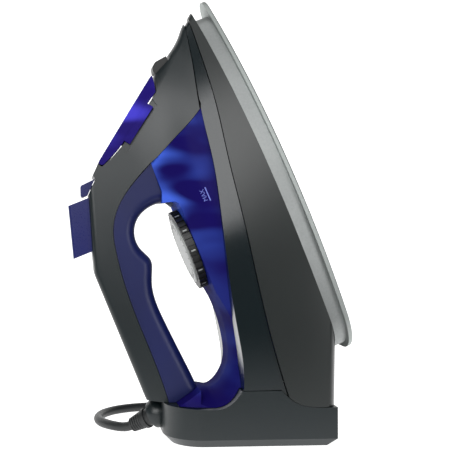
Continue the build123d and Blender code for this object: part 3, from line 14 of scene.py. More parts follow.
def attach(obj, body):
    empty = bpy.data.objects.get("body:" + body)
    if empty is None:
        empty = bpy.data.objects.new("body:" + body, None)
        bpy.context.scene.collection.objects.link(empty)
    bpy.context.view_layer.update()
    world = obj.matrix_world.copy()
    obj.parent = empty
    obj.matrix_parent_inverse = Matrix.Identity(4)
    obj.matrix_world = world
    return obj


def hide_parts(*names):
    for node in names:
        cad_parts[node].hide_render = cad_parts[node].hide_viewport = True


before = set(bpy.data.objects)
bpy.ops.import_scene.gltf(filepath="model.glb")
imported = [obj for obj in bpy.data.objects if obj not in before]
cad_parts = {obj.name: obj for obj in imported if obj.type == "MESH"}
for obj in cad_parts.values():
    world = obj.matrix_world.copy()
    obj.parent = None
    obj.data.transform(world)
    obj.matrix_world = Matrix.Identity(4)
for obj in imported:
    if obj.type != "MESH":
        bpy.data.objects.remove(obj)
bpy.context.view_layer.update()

LOG = logging.getLogger("iron")
MM = 0.001
WHITE = "#ffffff"

Triple = tuple[float, float, float]
Pair = tuple[float, float]
Tree = bpy.types.NodeTree
Socket = bpy.types.NodeSocket


class Body(Enum):
    """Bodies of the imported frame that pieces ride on."""

    IRON = "iron"
    DIAL = "dial"
    BUSH = "bush"


@dataclass(frozen=True)
class SoleFrame:
    """The sole's own directions: along it towards the tip, and out of its upper side."""

    rear: Triple = (92.2, 0.0, 60.8)
    along: Triple = (-0.37865, 0.0, 0.92554)
    out: Triple = (-0.92554, 0.0, -0.37865)

    def origin_height(self) -> float:
        """Gives the height of the scene's origin over the sole, in mm."""
        return -Vector(self.rear).dot(Vector(self.out))

    def matrix(self, along: float, across: float, out: float) -> Matrix:
        """Gives the placing of a piece over the sole.

        Args:
            along: distance from the sole's rear, in mm.
            across: distance from the middle, in mm.
            out: height over the sole, in mm.

        Returns:
            A matrix whose X runs along the sole and whose Z points out of its upper side.
        """
        x, z = Vector(self.along), Vector(self.out)
        middle = (Vector(self.rear) + x * along + Vector((0, across, 0)) + z * out) * MM
        y = z.cross(x)
        return Matrix((
            (x.x, y.x, z.x, middle.x), (x.y, y.y, z.y, middle.y), (x.z, y.z, z.z, middle.z), (0, 0, 0, 1),
        ))


SOLE = SoleFrame()


def linear(code: str) -> tuple[float, float, float, float]:
    """Turns an sRGB colour into linear colour.

    Args:
        code: the colour as six hex digits after a hash.

    Returns:
        Red, green, blue and a full alpha.
    """
    shares = [int(code[start:start + 2], 16) / 255 for start in (1, 3, 5)]
    straight = [s / 12.92 if s <= 0.04045 else ((s + 0.055) / 1.055) ** 2.4 for s in shares]
    return (*straight, 1.0)


def per_mm(size: float) -> float:
    """Gives the texture scale whose features are that many millimetres apart."""
    return 1 / (size * MM)


def feed(tree: Tree, node: bpy.types.Node, inputs: dict[Any, Any]) -> None:
    """Links or sets the inputs of a node.

    Args:
        tree: the node tree.
        node: the node.
        inputs: for each input, the output that feeds it or the value that it holds.
    """
    for name, value in inputs.items():
        if isinstance(value, Socket):
            tree.links.new(value, node.inputs[name])
        else:
            node.inputs[name].default_value = value


def add_node(tree: Tree, kind: str, inputs: dict[Any, Any] | None = None, **settings: Any) -> bpy.types.Node:
    """Adds a node with its settings and inputs.

    Args:
        tree: the node tree.
        kind: Blender's name of the node.
        inputs: for each input, the output that feeds it or the value that it holds.
        settings: the node's own attributes.

    Returns:
        The new node.
    """
    node = tree.nodes.new(kind)
    for name, value in settings.items():
        setattr(node, name, value)
    feed(tree, node, inputs or {})
    return node


# numbers of the inputs that hold the ends of a map's two ranges, and of a colour mix's inputs and result
MAP_ENDS = (1, 2, 3, 4)
COLOUR_MIX = (0, 6, 7)
COLOUR_MIX_RESULT = 2


def noise(tree: Tree, place: Socket, size: float, detail: float) -> Socket:
    """Adds noise whose features are that many millimetres apart."""
    inputs = {"Vector": place, "Scale": per_mm(size), "Detail": detail}
    return add_node(tree, "ShaderNodeTexNoise", inputs).outputs["Fac"]


def spread(
    tree: Tree, value: Socket, source: Sequence[Any], target: Sequence[Any], curve: str = "LINEAR",
) -> Socket:
    """Maps a value from one range to another."""
    inputs = dict(zip(MAP_ENDS, (*source, *target))) | {"Value": value}
    return add_node(tree, "ShaderNodeMapRange", inputs, interpolation_type=curve).outputs["Result"]


def blend(tree: Tree, share: Socket, dark: str, light: str) -> Socket:
    """Blends two colours by a share."""
    inputs = dict(zip(COLOUR_MIX, (share, linear(dark), linear(light))))
    return add_node(tree, "ShaderNodeMix", inputs, data_type="RGBA").outputs[COLOUR_MIX_RESULT]


def relief(tree: Tree, height: Socket, strength: float, depth: float) -> Socket:
    """Adds a relief of that many millimetres."""
    inputs = {"Height": height, "Strength": strength, "Distance": depth * MM}
    return add_node(tree, "ShaderNodeBump", inputs).outputs["Normal"]


def multiply(tree: Tree, one: Socket, other: Socket) -> Socket:
    """Multiplies two values."""
    return add_node(tree, "ShaderNodeMath", {0: one, 1: other}, operation="MULTIPLY").outputs[0]


# the part of a noise's range that most of it lies in, and the full range of a share
MOST_NOISE = (0.3, 0.7)
NONE_TO_ALL = (0.0, 1.0)


@dataclass(frozen=True)
class Finish:
    """A material with its real name. Each kind paints itself."""

    name: str

    def material(self) -> bpy.types.Material:
        """Builds the material.

        Returns:
            The material, painted.
        """
        made = bpy.data.materials.new(self.name)
        made.use_nodes = True
        tree = made.node_tree
        place = add_node(tree, "ShaderNodeTexCoord").outputs["Object"]
        feed(tree, tree.nodes["Principled BSDF"], self.paint(tree, place))
        return made

    def paint(self, tree: Tree, place: Socket) -> dict[str, Any]:
        """Gives the inputs of the material's shader."""
        raise NotImplementedError


@dataclass(frozen=True)
class MouldedPlastic(Finish):
    """An injection moulded plastic: two tones that drift over the piece, and a spark-eroded grain."""

    dark: str
    light: str
    roughness: Pair
    grain: float = 0.7
    height: float = 0.012
    drift: float = 42.0
    ior: float = 1.53
    bump: float = 0.6

    def paint(self, tree: Tree, place: Socket) -> dict[str, Any]:
        """Gives the inputs of the material's shader.

        Args:
            tree: the material's nodes.
            place: the place on the piece.

        Returns:
            What feeds each named input.
        """
        # slow change of tone, as the melt cooled
        drift = noise(tree, place, self.drift, detail=3.0)
        # pits that the eroded mould leaves, drawn coarser than the real 0.1 mm so that they show
        grain = noise(tree, place, self.grain, detail=2.0)
        return {
            "Base Color": blend(tree, drift, self.dark, self.light),
            "Roughness": spread(tree, grain, MOST_NOISE, self.roughness),
            "Normal": relief(tree, grain, self.bump, self.height),
            "IOR": self.ior,
        }


@dataclass(frozen=True)
class TintedClear(Finish):
    """A tinted plastic of a tank: deep in colour, with painted glow where light from inside would come
    through, stronger higher up and painted in shade on the side by the sole.
    """

    deep: str
    # colour of the painted glow, lighter blue where light from inside would come through
    painted_glow: str
    clear: float
    flow: float
    roughness: float = 0.24
    ior: float = 1.42
    # a mirror-like sheen would show the white paper at a low angle, so it has none
    shine: float = 0.0
    # painted light by height, and painted shade on the side by the sole
    painted_light_heights: Pair = (120.0, 175.0)
    painted_light_shares: Pair = (0.12, 1.0)
    over_sole: Pair = (40.0, 74.0)
    sole_side_painted_shade_shares: Pair = (0.1, 1.0)
    # range of the noise that becomes the painted glow patches
    painted_glow_patches: Pair = (0.4, 0.66)
    across_flow: Triple = (0.5, 0.5, 1.3)
    height: float = 0.1
    bump: float = 0.2

    def paint(self, tree: Tree, place: Socket) -> dict[str, Any]:
        """Gives the inputs of the material's shader.

        Args:
            tree: the material's nodes.
            place: the place on the piece.

        Returns:
            What feeds each named input.
        """
        # noise drawn out level: its relief stands for flow marks, and its brightest patches become painted
        # glow, as if light from inside came through
        drawn = add_node(tree, "ShaderNodeVectorMath", {0: place, 1: self.across_flow}, operation="MULTIPLY")
        flow = noise(tree, drawn.outputs[0], self.flow, detail=1.0)
        painted_glow_patches = spread(tree, flow, self.painted_glow_patches, NONE_TO_ALL, "SMOOTHSTEP")
        # painted light and shade: the glow is painted stronger on the upper half, and the side by the sole
        # is painted deep as shade
        height = add_node(tree, "ShaderNodeSeparateXYZ", {0: place}).outputs["Z"]
        painted_light = spread(tree, height, tuple(level * MM for level in self.painted_light_heights), self.painted_light_shares)
        over = add_node(tree, "ShaderNodeVectorMath", {0: place, 1: SOLE.out}, operation="DOT_PRODUCT")
        over_range = tuple((level - SOLE.origin_height()) * MM for level in self.over_sole)
        sole_side_painted_shade = spread(tree, over.outputs["Value"], over_range, self.sole_side_painted_shade_shares)
        share = multiply(tree, painted_glow_patches, multiply(tree, painted_light, sole_side_painted_shade))
        return {
            "Base Color": blend(tree, share, self.deep, self.painted_glow),
            "Normal": relief(tree, flow, self.bump, self.height),
            "Roughness": self.roughness,
            "Transmission Weight": self.clear,
            "Specular IOR Level": self.shine,
            "IOR": self.ior,
        }


@dataclass(frozen=True)
class WorkedMetal(Finish):
    """A metal with the marks of its making: a cast skin, or fine lines along one axis."""

    dark: str
    light: str
    roughness: Pair
    marks: Triple = (0.5, 0.5, 0.5)
    height: float = 0.006
    stain: float = 35.0
    bump: float = 0.4

    def paint(self, tree: Tree, place: Socket) -> dict[str, Any]:
        """Gives the inputs of the material's shader.

        Args:
            tree: the material's nodes.
            place: the place on the piece.

        Returns:
            What feeds each named input.
        """
        scale = [per_mm(size) for size in self.marks]
        stretch = add_node(tree, "ShaderNodeMapping", {"Vector": place, "Scale": scale}).outputs[0]
        lines = {"Vector": stretch, "Scale": 1.0, "Detail": 3.0}
        marks = add_node(tree, "ShaderNodeTexNoise", lines).outputs["Fac"]
        stain = noise(tree, place, self.stain, detail=4.0)
        return {
            "Base Color": blend(tree, stain, self.dark, self.light),
            "Roughness": spread(tree, marks, MOST_NOISE, self.roughness),
            "Normal": relief(tree, marks, self.bump, self.height),
            "Metallic": 1.0,
        }


@dataclass(frozen=True)
class GlowingPaper(Finish):
    """A paper sweep with painted light: it glows by its own emission, softly near the object and fully where
    it rises, and its colour is painted darker towards the front.
    """

    glow: Pair
    depths: Pair
    shaded: str = "#5a5a5a"
    white: str = "#d8d8d8"
    roughness: float = 0.9
    shine: float = 0.1

    def paint(self, tree: Tree, place: Socket) -> dict[str, Any]:
        """Gives the inputs of the material's shader.

        Args:
            tree: the material's nodes.
            place: the place on the paper.

        Returns:
            What feeds each named input.
        """
        # painted shade and glow: colour and emission rise from the front to the back
        depth = add_node(tree, "ShaderNodeSeparateXYZ", {0: place}).outputs["Y"]
        depths = tuple(place_y * MM for place_y in self.depths)
        share = spread(tree, depth, depths, NONE_TO_ALL)
        return {
            "Base Color": blend(tree, share, self.shaded, self.white),
            "Roughness": self.roughness,
            "Specular IOR Level": self.shine,
            "Emission Color": linear(WHITE),
            "Emission Strength": spread(tree, depth, depths, self.glow, "SMOOTHSTEP"),
        }


# satin coated aluminium: pale and even, with soft reflections
SOLE_METAL = WorkedMetal("satin_aluminium_sole", "#a0a5a3", "#acb1af", (0.5, 0.56), (3.0, 3.0, 3.0), 0.001)
# die cast aluminium: duller, with a cast skin
CAST_METAL = WorkedMetal("die_cast_aluminium", "#8d9090", "#a3a6a5", (0.42, 0.58), (1.4, 1.4, 1.4), 0.03)
# drawn stainless steel: fine lines along the draw
DRAWN_STEEL = WorkedMetal("drawn_stainless_steel", "#9a9c9d", "#b9bbbc", (0.22, 0.36), (8.0, 0.5, 0.5))
# nickel plated brass: bright, slightly warm
PIN_METAL = WorkedMetal("nickel_plated_brass", "#b4ae9c", "#cbc5b4", (0.16, 0.26), (0.5, 6.0, 0.5))

# glass filled nylon from a satin mould: near black, with a cool cast
SATIN_BLACK = MouldedPlastic("satin_black_nylon", "#061114", "#0a171a", (0.34, 0.4))
# the same nylon for the skirt, painted slightly greyer as a lighter-lit copy of it
LIGHTER_LIT_SKIRT_BLACK = MouldedPlastic("satin_black_skirt_nylon", "#0d1313", "#141b1a", (0.32, 0.38))
# polished ABS: mirror-like, dark
GLOSS_BLACK = MouldedPlastic("polished_black_abs", "#041013", "#08161a", (0.16, 0.22), height=0.002)
# the heel, of the same nylon, worn a little smoother
HEEL_BLACK = MouldedPlastic("worn_black_heel_nylon", "#061114", "#0b181b", (0.3, 0.42))
# soft-touch grip: deep navy, broad soft highlight
GRIP_NAVY = MouldedPlastic("soft_touch_navy_grip", "#0c1340", "#121b52", (0.34, 0.42), grain=0.9, ior=1.42)
# keys of ABS in the same blue, glossier
KEY_BLUE = MouldedPlastic("semi_gloss_blue_abs", "#10144a", "#1a2064", (0.26, 0.32), height=0.002, ior=1.4)
# dial rim of matt phenolic
DIAL_BLACK = MouldedPlastic("matt_black_phenolic", "#070808", "#0e1010", (0.4, 0.52))
# dial cap: satin grey ABS
DIAL_GREY = MouldedPlastic("satin_grey_abs", "#9a9d9b", "#acafac", (0.3, 0.4))
# hidden mouldings of natural acetal
NATURAL_WHITE = MouldedPlastic("natural_acetal", "#cfcfc8", "#dcdcd6", (0.32, 0.44))
# clear silicone of hoses and seal, slightly milky
SILICONE = MouldedPlastic("milky_silicone", "#b9bfc2", "#cdd2d4", (0.3, 0.42), ior=1.41)
# PVC of the cord and bush: dull black
PVC_BLACK = MouldedPlastic("dull_black_pvc", "#141617", "#1f2223", (0.42, 0.55), grain=1.1, height=0.02)
# blue styrene of the water tank, and violet styrene of the door, both with painted glow as of light from
# inside
TANK_BLUE = TintedClear("blue_styrene_tank", "#181158", "#5078fa", 0.05, flow=25.0)
DOOR_VIOLET = TintedClear("violet_styrene_door", "#22176a", "#463fc8", 0.05, flow=24.0)
# pad-printed inks: pale on the rim and the tank, dark on the dial's face
PALE_INK = MouldedPlastic("pale_pad_ink", "#8f9290", "#a2a5a2", (0.45, 0.55))
TANK_INK = MouldedPlastic("pale_blue_pad_ink", "#5a66c0", "#6e7ad0", (0.45, 0.55))
DARK_INK = MouldedPlastic("dark_pad_ink", "#121314", "#1c1d1f", (0.45, 0.55))
# woven hook and loop tape of the tie
TIE_TAPE = MouldedPlastic("woven_black_tape", "#17181a", "#2a2c2e", (0.7, 0.9), grain=0.6, height=0.12)
# the studio's paper, with painted shade at the front and a painted glow behind the iron
PAPER = GlowingPaper("white_paper_sweep", glow=(0.03, 1.02), depths=(-300.0, 20.0))

DRESS: dict[Finish, tuple[str, ...]] = {
    SOLE_METAL: ("soleplate",),
    CAST_METAL: ("heater_casting",),
    DRAWN_STEEL: (
        "heating_element", "steam_chamber_cover", "thermostat", "thermal_fuse", "door_pin", "heel_screws",
        "spray_spring", "steam_spring", "valve_rod", "dial_shaft",
    ),
    PIN_METAL: ("plug_pins",),
    SATIN_BLACK: ("handle_shell",),
    LIGHTER_LIT_SKIRT_BLACK: ("lower_skirt",),
    GLOSS_BLACK: ("body_band",),
    HEEL_BLACK: ("heel_cover",),
    GRIP_NAVY: ("handle_grip",),
    KEY_BLUE: ("spray_button", "steam_button", "steam_slider"),
    DIAL_BLACK: ("temperature_dial", "spray_nozzle"),
    DIAL_GREY: ("dial_face", "dial_marker"),
    NATURAL_WHITE: (
        "spray_pump", "steam_pump", "spray_piston", "steam_piston", "valve_seat", "terminal_block",
        "cord_clamp",
    ),
    SILICONE: ("spray_hose", "spray_suction_tube", "steam_feed_tube", "door_seal"),
    PVC_BLACK: ("cord_bush", "cord_guard", "inner_cord", "mains_plug"),
    TANK_BLUE: ("water_tank", "filler_neck"),
    DOOR_VIOLET: ("fill_door",),
}


def dress_nodes(made: dict[Finish, bpy.types.Material]) -> None:
    """Gives each CAD node its finish.

    Args:
        made: the material of each finish.
    """
    for finish, nodes in DRESS.items():
        for node in nodes:
            mesh_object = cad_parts[node]
            if not mesh_object.material_slots:
                mesh_object.data.materials.append(made[finish])
            for place in mesh_object.material_slots:
                place.material = made[finish]
            LOG.info("%s is %s", node, finish.name)


@dataclass(frozen=True)
class Softbox:
    """A square soft light: where it stands and its side, in mm, and its power, in watts."""

    name: str
    place: Triple
    size: float
    power: float


SOFTBOXES = (
    Softbox("key_softbox", (-350.0, -770.0, 510.0), 720.0, 7.0),
    Softbox("fill_softbox", (420.0, -720.0, 110.0), 420.0, 2.0),
    Softbox("top_softbox", (-200.0, -120.0, 1000.0), 520.0, 1.0),
)


@dataclass
class Studio:
    """Camera, lights and the paper sweep."""

    eye: Triple = (-92.2, -590.9, 141.4)
    target: Triple = (12.0, 0.0, 141.4)
    focal: float = 70.7
    sensor: float = 36.0
    room: float = 0.2
    sweep_half: float = 2600.0
    sweep_front: float = -900.0
    sweep_rear: float = 1300.0
    sweep_bend: float = 500.0
    sweep_top: float = 2200.0
    bend_steps: int = 24

    def build(self) -> None:
        """Sets up the view and the light."""
        scene = bpy.context.scene
        lens = bpy.data.cameras.new("camera")
        lens.lens = self.focal
        lens.sensor_width = self.sensor
        scene.camera = self.aim("camera", lens, self.eye)
        scene.view_settings.view_transform = "Standard"
        world = bpy.data.worlds.new("dim_room")
        world.use_nodes = True
        back = world.node_tree.nodes["Background"]
        back.inputs["Color"].default_value = linear(WHITE)
        back.inputs["Strength"].default_value = self.room
        scene.world = world
        for box in SOFTBOXES:
            lamp = bpy.data.lights.new(box.name, "AREA")
            lamp.size = box.size * MM
            lamp.energy = box.power
            self.aim(box.name, lamp, box.place)
        self.sweep()

    def aim(self, name: str, data: bpy.types.ID, place: Triple) -> bpy.types.Object:
        """Sets up a camera or a light that faces the iron.

        Args:
            name: its name.
            data: the camera or light.
            place: where it stands, in mm.

        Returns:
            The object that holds it.
        """
        holder = bpy.data.objects.new(name, data)
        holder.location = Vector(place) * MM
        facing = Vector(self.target) - Vector(place)
        holder.rotation_euler = facing.to_track_quat("-Z", "Y").to_euler()
        bpy.context.scene.collection.objects.link(holder)
        return holder

    def sweep(self) -> None:
        """Lays the white paper: flat under the iron, bent up behind it."""
        profile = [(self.sweep_front, 0.0)]
        for step in range(self.bend_steps + 1):
            turn = step / self.bend_steps * pi / 2
            profile.append((
                self.sweep_rear + self.sweep_bend * sin(turn), self.sweep_bend * (1 - cos(turn)),
            ))
        profile.append((self.sweep_rear + self.sweep_bend, self.sweep_top))
        corners = [(x * MM, y * MM, z * MM) for y, z in profile for x in (-self.sweep_half, self.sweep_half)]
        faces = [(2 * row, 2 * row + 1, 2 * row + 3, 2 * row + 2) for row in range(len(profile) - 1)]
        mesh = bpy.data.meshes.new("paper_sweep")
        mesh.from_pydata(corners, [], faces)
        mesh.materials.append(PAPER.material())
        paper = bpy.data.objects.new("paper_sweep", mesh)
        bpy.context.scene.collection.objects.link(paper)


@dataclass
class Cord:
    """The mains lead: from the guard, round behind the heel, into its coil and the plug."""

    diameter: float = 6.4
    level: float = 4.0
    exit: Triple = (-50.16, 9.33, 6.07)
    landing: Triple = (-53.63, 11.33, 4.0)
    coil_x: float = 65.2
    coil_y: float = 119.0
    coil_radius: float = 39.0
    coil_pitch: float = 7.2
    coil_layer: float = 6.9
    layer_turns: float = 1.5
    climb_turns: float = 0.5
    coil_turns: float = 7.25
    coil_lead: float = 7.5
    turn_points: int = 24
    tail_runs: Triple = (10.0, 12.0, 9.0)
    tail_shift: float = -1.5
    plug_level: float = 18.2
    length: float = 1.74
    heading_turns: float = 0.002
    curve_order: int = 3
    curve_steps: int = 6
    round_steps: int = 4

    def top_layer(self) -> int:
        """Gives the number of the coil's top layer, from 0."""
        return int(self.coil_turns / (self.layer_turns + self.climb_turns))

    def coil_place(self, turn: float) -> Vector:
        """Gives the centre of the cord after a number of turns.

        Args:
            turn: turns from the start of the coil.

        Returns:
            The place in mm.
        """
        layer, along = divmod(turn, self.layer_turns + self.climb_turns)
        step, rise = along, 0.0
        if along > self.layer_turns:
            share = (along - self.layer_turns) / self.climb_turns
            step = self.layer_turns + self.climb_turns * share * (1 - share)
            rise = share**2 * (3 - 2 * share)
        inward = step if layer % 2 == 0 else self.layer_turns - step
        radius = self.coil_radius - self.coil_pitch * inward
        angle = 2 * pi * turn - pi / 2
        return Vector((
            self.coil_x + radius * cos(angle),
            self.coil_y + radius * sin(angle),
            self.level + self.coil_layer * (layer + rise),
        ))

    def route(self) -> list[Vector]:
        """Gives the control points of the cord in mm."""
        on_floor = (
            (-63.1, 18.7), (-71.3, 32.4), (-72.2, 49.4), (-65.0, 64.8), (-51.4, 75.0), (-31.7, 78.5),
            (-3.7, 79.7), (26.0, 80.0), (self.coil_x - self.coil_lead, self.coil_y - self.coil_radius),
        )
        points = [Vector(self.exit), Vector(self.landing)]
        points += [Vector((x, y, self.level)) for x, y in on_floor]
        steps = int(self.coil_turns * self.turn_points)
        points += [self.coil_place(step / self.turn_points) for step in range(steps + 1)]
        last = points[-1]
        heading = (last - self.coil_place(self.coil_turns - self.heading_turns)).normalized()
        coil_end = last + heading * self.diameter
        bend = coil_end + heading * self.tail_runs[0]
        level = Vector((bend.x + self.tail_shift, bend.y + self.tail_runs[1], self.plug_level))
        points += [coil_end, bend, level, level + Vector((0, self.tail_runs[2], 0))]
        return points

    def build(self, made: dict[Finish, bpy.types.Material]) -> None:
        """Lays the cord and its tie.

        Args:
            made: the material of each finish.
        """
        curve = bpy.data.curves.new("mains_lead", "CURVE")
        curve.dimensions = "3D"
        curve.bevel_depth = self.diameter / 2 * MM
        curve.bevel_resolution = self.round_steps
        curve.resolution_u = self.curve_steps
        curve.use_fill_caps = True
        points = self.route()
        line = curve.splines.new("NURBS")
        line.points.add(len(points) - 1)
        for point, place in zip(line.points, points):
            point.co = (*(place * MM), 1.0)
        line.order_u = self.curve_order
        line.use_endpoint_u = True
        curve.materials.append(made[PVC_BLACK])
        lead = bpy.data.objects.new("mains_lead", curve)
        bpy.context.scene.collection.objects.link(lead)
        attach(lead, Body.IRON.value)
        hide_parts("cord_lead", "cord_coil", "cord_tail")
        tie = CoilTie(self).build(made[TIE_TAPE])
        LOG.info("mains lead laid with %d points", len(points))


@dataclass
class CoilTie:
    """Hook and loop strap round one side of the coil."""

    cord: Cord
    angle: float = 45.0
    inner: float = 25.3
    outer: float = 41.9
    gap: float = 0.1
    thickness: float = 0.6
    width: float = 7.0
    corner: float = 4.2
    corner_steps: int = 6

    def loop(self, grown: float) -> list[tuple[float, float]]:
        """Gives the strap's rounded loop in its own plane.

        Args:
            grown: how far outside the cord it runs, in mm.

        Returns:
            Points as distance from the coil's middle and height, in mm.
        """
        outside = self.cord.diameter / 2 + self.gap + grown
        low = self.cord.level - outside
        top = self.cord.level + self.cord.top_layer() * self.cord.coil_layer + outside
        left, right = self.inner - grown, self.outer + grown
        radius = min(self.corner + grown, (top - low) / 2, (right - left) / 2)
        corners = ((right, top, 0), (left, top, 1), (left, low, 2), (right, low, 3))
        places = []
        for x, z, quarter in corners:
            middle_x = x + (radius if x == left else -radius)
            middle_z = z + (radius if z == low else -radius)
            for step in range(self.corner_steps + 1):
                turn = (quarter + step / self.corner_steps) * pi / 2
                places.append((middle_x + radius * cos(turn), middle_z + radius * sin(turn)))
        return places

    def build(self, material: bpy.types.Material) -> bpy.types.Object:
        """Makes the strap.

        Args:
            material: the tape.

        Returns:
            The strap's object.
        """
        rings = [(self.loop(grown), side) for grown, side in (
            (0, -0.5), (self.thickness, -0.5), (self.thickness, 0.5), (0, 0.5),
        )]
        out = Vector((cos(radians(self.angle)), sin(radians(self.angle)), 0))
        across = Vector((-out.y, out.x, 0))
        middle = Vector((self.cord.coil_x, self.cord.coil_y, 0))
        count = len(rings[0][0])
        corners = [
            (middle + out * x + across * side * self.width + Vector((0, 0, z))) * MM
            for ring, side in rings for x, z in ring
        ]
        faces = []
        for ring in range(len(rings)):
            here, after = ring * count, (ring + 1) % len(rings) * count
            for place in range(count):
                ahead = (place + 1) % count
                faces.append((here + place, here + ahead, after + ahead, after + place))
        mesh = bpy.data.meshes.new("lead_tie")
        mesh.from_pydata(corners, [], faces)
        work = bmesh.new()
        work.from_mesh(mesh)
        bmesh.ops.recalc_face_normals(work, faces=work.faces)
        work.to_mesh(mesh)
        work.free()
        mesh.materials.append(material)
        strap = bpy.data.objects.new("lead_tie", mesh)
        bpy.context.scene.collection.objects.link(strap)
        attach(strap, Body.IRON.value)
        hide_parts("coil_tie")
        return strap


def new_tree(name: str, sockets: dict[str, str]) -> tuple[Tree, bpy.types.Node]:
    """Starts a Geometry Nodes tree.

    Args:
        name: the tree's name.
        sockets: the kind of each named input.

    Returns:
        The tree and its input node.
    """
    tree = bpy.data.node_groups.new(name, "GeometryNodeTree")
    tree.interface.new_socket("Geometry", in_out="OUTPUT", socket_type="NodeSocketGeometry")
    for label, kind in sockets.items():
        tree.interface.new_socket(label, in_out="INPUT", socket_type=f"NodeSocket{kind}")
    return tree, add_node(tree, "NodeGroupInput")


def end_tree(tree: Tree, instances: Socket, material: Socket) -> None:
    """Turns a tree's instances into one mesh with a material.

    Args:
        tree: the tree.
        instances: what it repeated.
        material: the input that holds the material.
    """
    real = add_node(tree, "GeometryNodeRealizeInstances", {0: instances})
    dressed = add_node(tree, "GeometryNodeSetMaterial", {"Geometry": real.outputs[0], "Material": material})
    add_node(tree, "NodeGroupOutput", {0: dressed.outputs[0]})


def ring_tree() -> Tree:
    """Builds the tree that sets bars round a circle.

    Returns:
        The tree.
    """
    tree, given = new_tree(
        "bars_round_a_circle", {"Count": "Int", "Radius": "Float", "Bar": "Vector", "Material": "Material"},
    )
    circle = add_node(tree, "GeometryNodeMeshCircle", {
        "Vertices": given.outputs["Count"], "Radius": given.outputs["Radius"],
    })
    bar = add_node(tree, "GeometryNodeMeshCube", {"Size": given.outputs["Bar"]})
    place = add_node(tree, "GeometryNodeInputPosition")
    turn = add_node(tree, "FunctionNodeAlignRotationToVector", {"Vector": place.outputs[0]}, axis="X")
    copies = add_node(tree, "GeometryNodeInstanceOnPoints", {
        "Points": circle.outputs[0], "Instance": bar.outputs["Mesh"], "Rotation": turn.outputs[0],
    })
    end_tree(tree, copies.outputs[0], given.outputs["Material"])
    return tree


# sides of a rib's round section
RIB_SIDES = 10


def rib_tree() -> Tree:
    """Builds the tree that sets rings along a tapering line.

    Returns:
        The tree.
    """
    tree, given = new_tree("rings_along_a_taper", {
        "Count": "Int", "Step": "Vector", "Radius": "Float", "Rib": "Float", "Taper": "Float",
        "Material": "Material",
    })
    line = add_node(tree, "GeometryNodeMeshLine", {
        "Count": given.outputs["Count"], "Offset": given.outputs["Step"],
    })
    circle = add_node(tree, "GeometryNodeCurvePrimitiveCircle", {"Radius": given.outputs["Radius"]})
    section = add_node(tree, "GeometryNodeCurvePrimitiveCircle", {
        "Radius": given.outputs["Rib"], "Resolution": RIB_SIDES,
    })
    ring = add_node(
        tree, "GeometryNodeCurveToMesh", {"Curve": circle.outputs[0], "Profile Curve": section.outputs[0]},
    )
    number = add_node(tree, "GeometryNodeInputIndex")
    last = add_node(tree, "ShaderNodeMath", {0: given.outputs["Count"], 1: 1.0}, operation="SUBTRACT")
    scale = spread(tree, number.outputs[0], (0.0, last.outputs[0]), (1.0, given.outputs["Taper"]))
    copies = add_node(tree, "GeometryNodeInstanceOnPoints", {
        "Points": line.outputs[0], "Instance": ring.outputs[0], "Scale": scale,
    })
    end_tree(tree, copies.outputs[0], given.outputs["Material"])
    return tree


def repeat(name: str, tree: Tree, values: dict[str, Any], place: Matrix) -> bpy.types.Object:
    """Runs a tree once and keeps its plain mesh.

    Args:
        name: the piece's name.
        tree: the tree.
        values: what its named inputs hold.
        place: where the mesh goes.

    Returns:
        The piece, with its place in its mesh.
    """
    piece = bpy.data.objects.new(name, bpy.data.meshes.new(name))
    bpy.context.scene.collection.objects.link(piece)
    modifier = piece.modifiers.new("repeat", "NODES")
    modifier.node_group = tree
    for socket in tree.interface.items_tree:
        if socket.in_out == "INPUT":
            modifier[socket.identifier] = values[socket.name]
    view = bpy.context.evaluated_depsgraph_get()
    mesh = bpy.data.meshes.new_from_object(piece.evaluated_get(view))
    piece.modifiers.clear()
    mesh.transform(place)
    piece.data = mesh
    LOG.info("%s repeats to %d faces", name, len(mesh.polygons))
    return piece


@dataclass
class DialMarks:
    """Painted marks of the temperature dial: on every third tooth of its rim, and round its face."""

    along: float = 99.5
    rim_radius: float = 27.5
    rim_low: float = 70.9
    rim_high: float = 76.1
    face_high: float = 77.3
    rim_count: int = 12
    rim_bar: Triple = (0.2, 0.9, 2.8)
    face_count: int = 24
    face_radius: float = 18.0
    face_bar: Triple = (3.0, 0.6, 0.16)

    def build(self, ink: bpy.types.Material, dark: bpy.types.Material) -> None:
        """Paints the marks.

        Args:
            ink: the pale ink of the rim.
            dark: the dark ink of the face.
        """
        rim = repeat("dial_rim_marks", ring_tree(), {
            "Count": self.rim_count, "Radius": self.rim_radius * MM, "Bar": Vector(self.rim_bar) * MM,
            "Material": ink,
        }, SOLE.matrix(self.along, 0, (self.rim_low + self.rim_high) / 2))
        face = repeat("dial_face_marks", ring_tree(), {
            "Count": self.face_count, "Radius": self.face_radius * MM, "Bar": Vector(self.face_bar) * MM,
            "Material": dark,
        }, SOLE.matrix(self.along, 0, self.face_high))
        for piece, slot in ((rim, "dial_grey"), (face, "dial_black")):
            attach(piece, Body.DIAL.value)


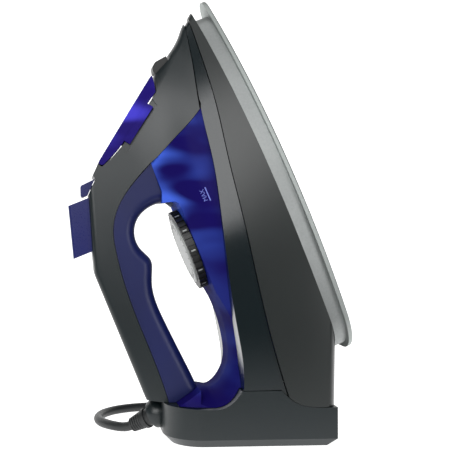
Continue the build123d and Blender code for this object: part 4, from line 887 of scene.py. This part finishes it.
@dataclass
class GuardRibs:
    """Ribs of the flexible guard where the cord leaves the bush."""

    ball: Triple = (-34.0, 0.0, 15.7)
    yaw: float = 30.0
    drop: float = 27.3
    start: float = 12.0
    end: float = 21.0
    root_radius: float = 5.4
    tip_radius: float = 4.3
    rib: float = 0.7
    count: int = 5

    def build(self, material: bpy.types.Material) -> None:
        """Sets the ribs on the guard.

        Args:
            material: the guard's plastic.
        """
        yaw, drop = radians(self.yaw), radians(self.drop)
        axis = Vector((-cos(drop) * cos(yaw), cos(drop) * sin(yaw), -sin(drop)))
        turn = axis.to_track_quat("Z", "Y").to_matrix().to_4x4()
        step = (self.end - self.start) / self.count
        place = Matrix.Translation((Vector(self.ball) + axis * (self.start + step / 2)) * MM) @ turn
        fall = (self.root_radius - self.tip_radius) / self.count
        first = self.root_radius - fall / 2
        ribs = repeat("cord_guard_ribs", rib_tree(), {
            "Count": self.count, "Step": Vector((0, 0, step)) * MM, "Radius": first * MM,
            "Rib": self.rib * MM, "Taper": (first - fall * (self.count - 1)) / first, "Material": material,
        }, place)
        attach(ribs, Body.BUSH.value)


@dataclass
class LevelMark:
    """Highest water level printed on both sides of the tank: a line and a word along the tank."""

    along: float = 130.0
    out: float = 53.0
    word: str = "MAX"
    letter: float = 3.6
    line: Pair = (9.0, 0.7)
    line_steps: int = 8
    ink: float = 0.12
    cast_from: float = 200.0

    def outline(self, name: str) -> bpy.types.Mesh:
        """Gives the flat mesh of the word with its line under it.

        Args:
            name: the mesh's name.

        Returns:
            The mesh, in metres, with the line's middle at the origin.
        """
        text = bpy.data.curves.new(name, "FONT")
        text.body = self.word
        text.size = self.letter * MM
        text.align_x = "CENTER"
        holder = bpy.data.objects.new(name, text)
        mesh = bpy.data.meshes.new_from_object(holder)
        bpy.data.objects.remove(holder)
        work = bmesh.new()
        work.from_mesh(mesh)
        bmesh.ops.translate(work, verts=work.verts, vec=(0, self.line[1] * 2 * MM, 0))
        half, thick = self.line[0] / 2 * MM, self.line[1] * MM
        stations = [half * (2 * step / self.line_steps - 1) for step in range(self.line_steps + 1)]
        row = [[work.verts.new((x, side * thick / 2, 0)) for side in (-1, 1)] for x in stations]
        for (low, high), (next_low, next_high) in zip(row, row[1:]):
            work.faces.new((low, next_low, next_high, high))
        bmesh.ops.triangulate(work, faces=work.faces)
        work.to_mesh(mesh)
        work.free()
        return mesh

    def build(self, ink: bpy.types.Material) -> None:
        """Prints the mark on each side.

        Args:
            ink: the pale ink.
        """
        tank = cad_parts["water_tank"]
        walls = BVHTree.FromObject(tank, bpy.context.evaluated_depsgraph_get())
        for side, name in ((-1, "level_mark_left"), (1, "level_mark_right")):
            mesh = self.outline(name)
            for vertex in mesh.vertices:
                flat = vertex.co / MM
                spot = SOLE.matrix(self.along - side * flat.x, 0, self.out + flat.y).to_translation()
                start = Vector((spot.x, side * self.cast_from * MM, spot.z))
                hit = walls.ray_cast(start, Vector((0, -side, 0)))[0]
                vertex.co = hit + Vector((0, side * self.ink * MM, 0))
            mesh.materials.clear()
            mesh.materials.append(ink)
            mark = bpy.data.objects.new(name, mesh)
            bpy.context.scene.collection.objects.link(mark)
            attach(mark, Body.IRON.value)
            LOG.info("%s printed", name)


def main() -> None:
    """Builds the looks in order."""
    logging.basicConfig(level=logging.INFO, format="%(message)s")
    Studio().build()
    finishes = (*DRESS, TIE_TAPE, PALE_INK, TANK_INK, DARK_INK)
    made = {finish: finish.material() for finish in finishes}
    dress_nodes(made)
    Cord().build(made)
    DialMarks().build(made[PALE_INK], made[DARK_INK])
    GuardRibs().build(made[PVC_BLACK])
    LevelMark().build(made[TANK_INK])


if __name__ == "__main__":
    main()
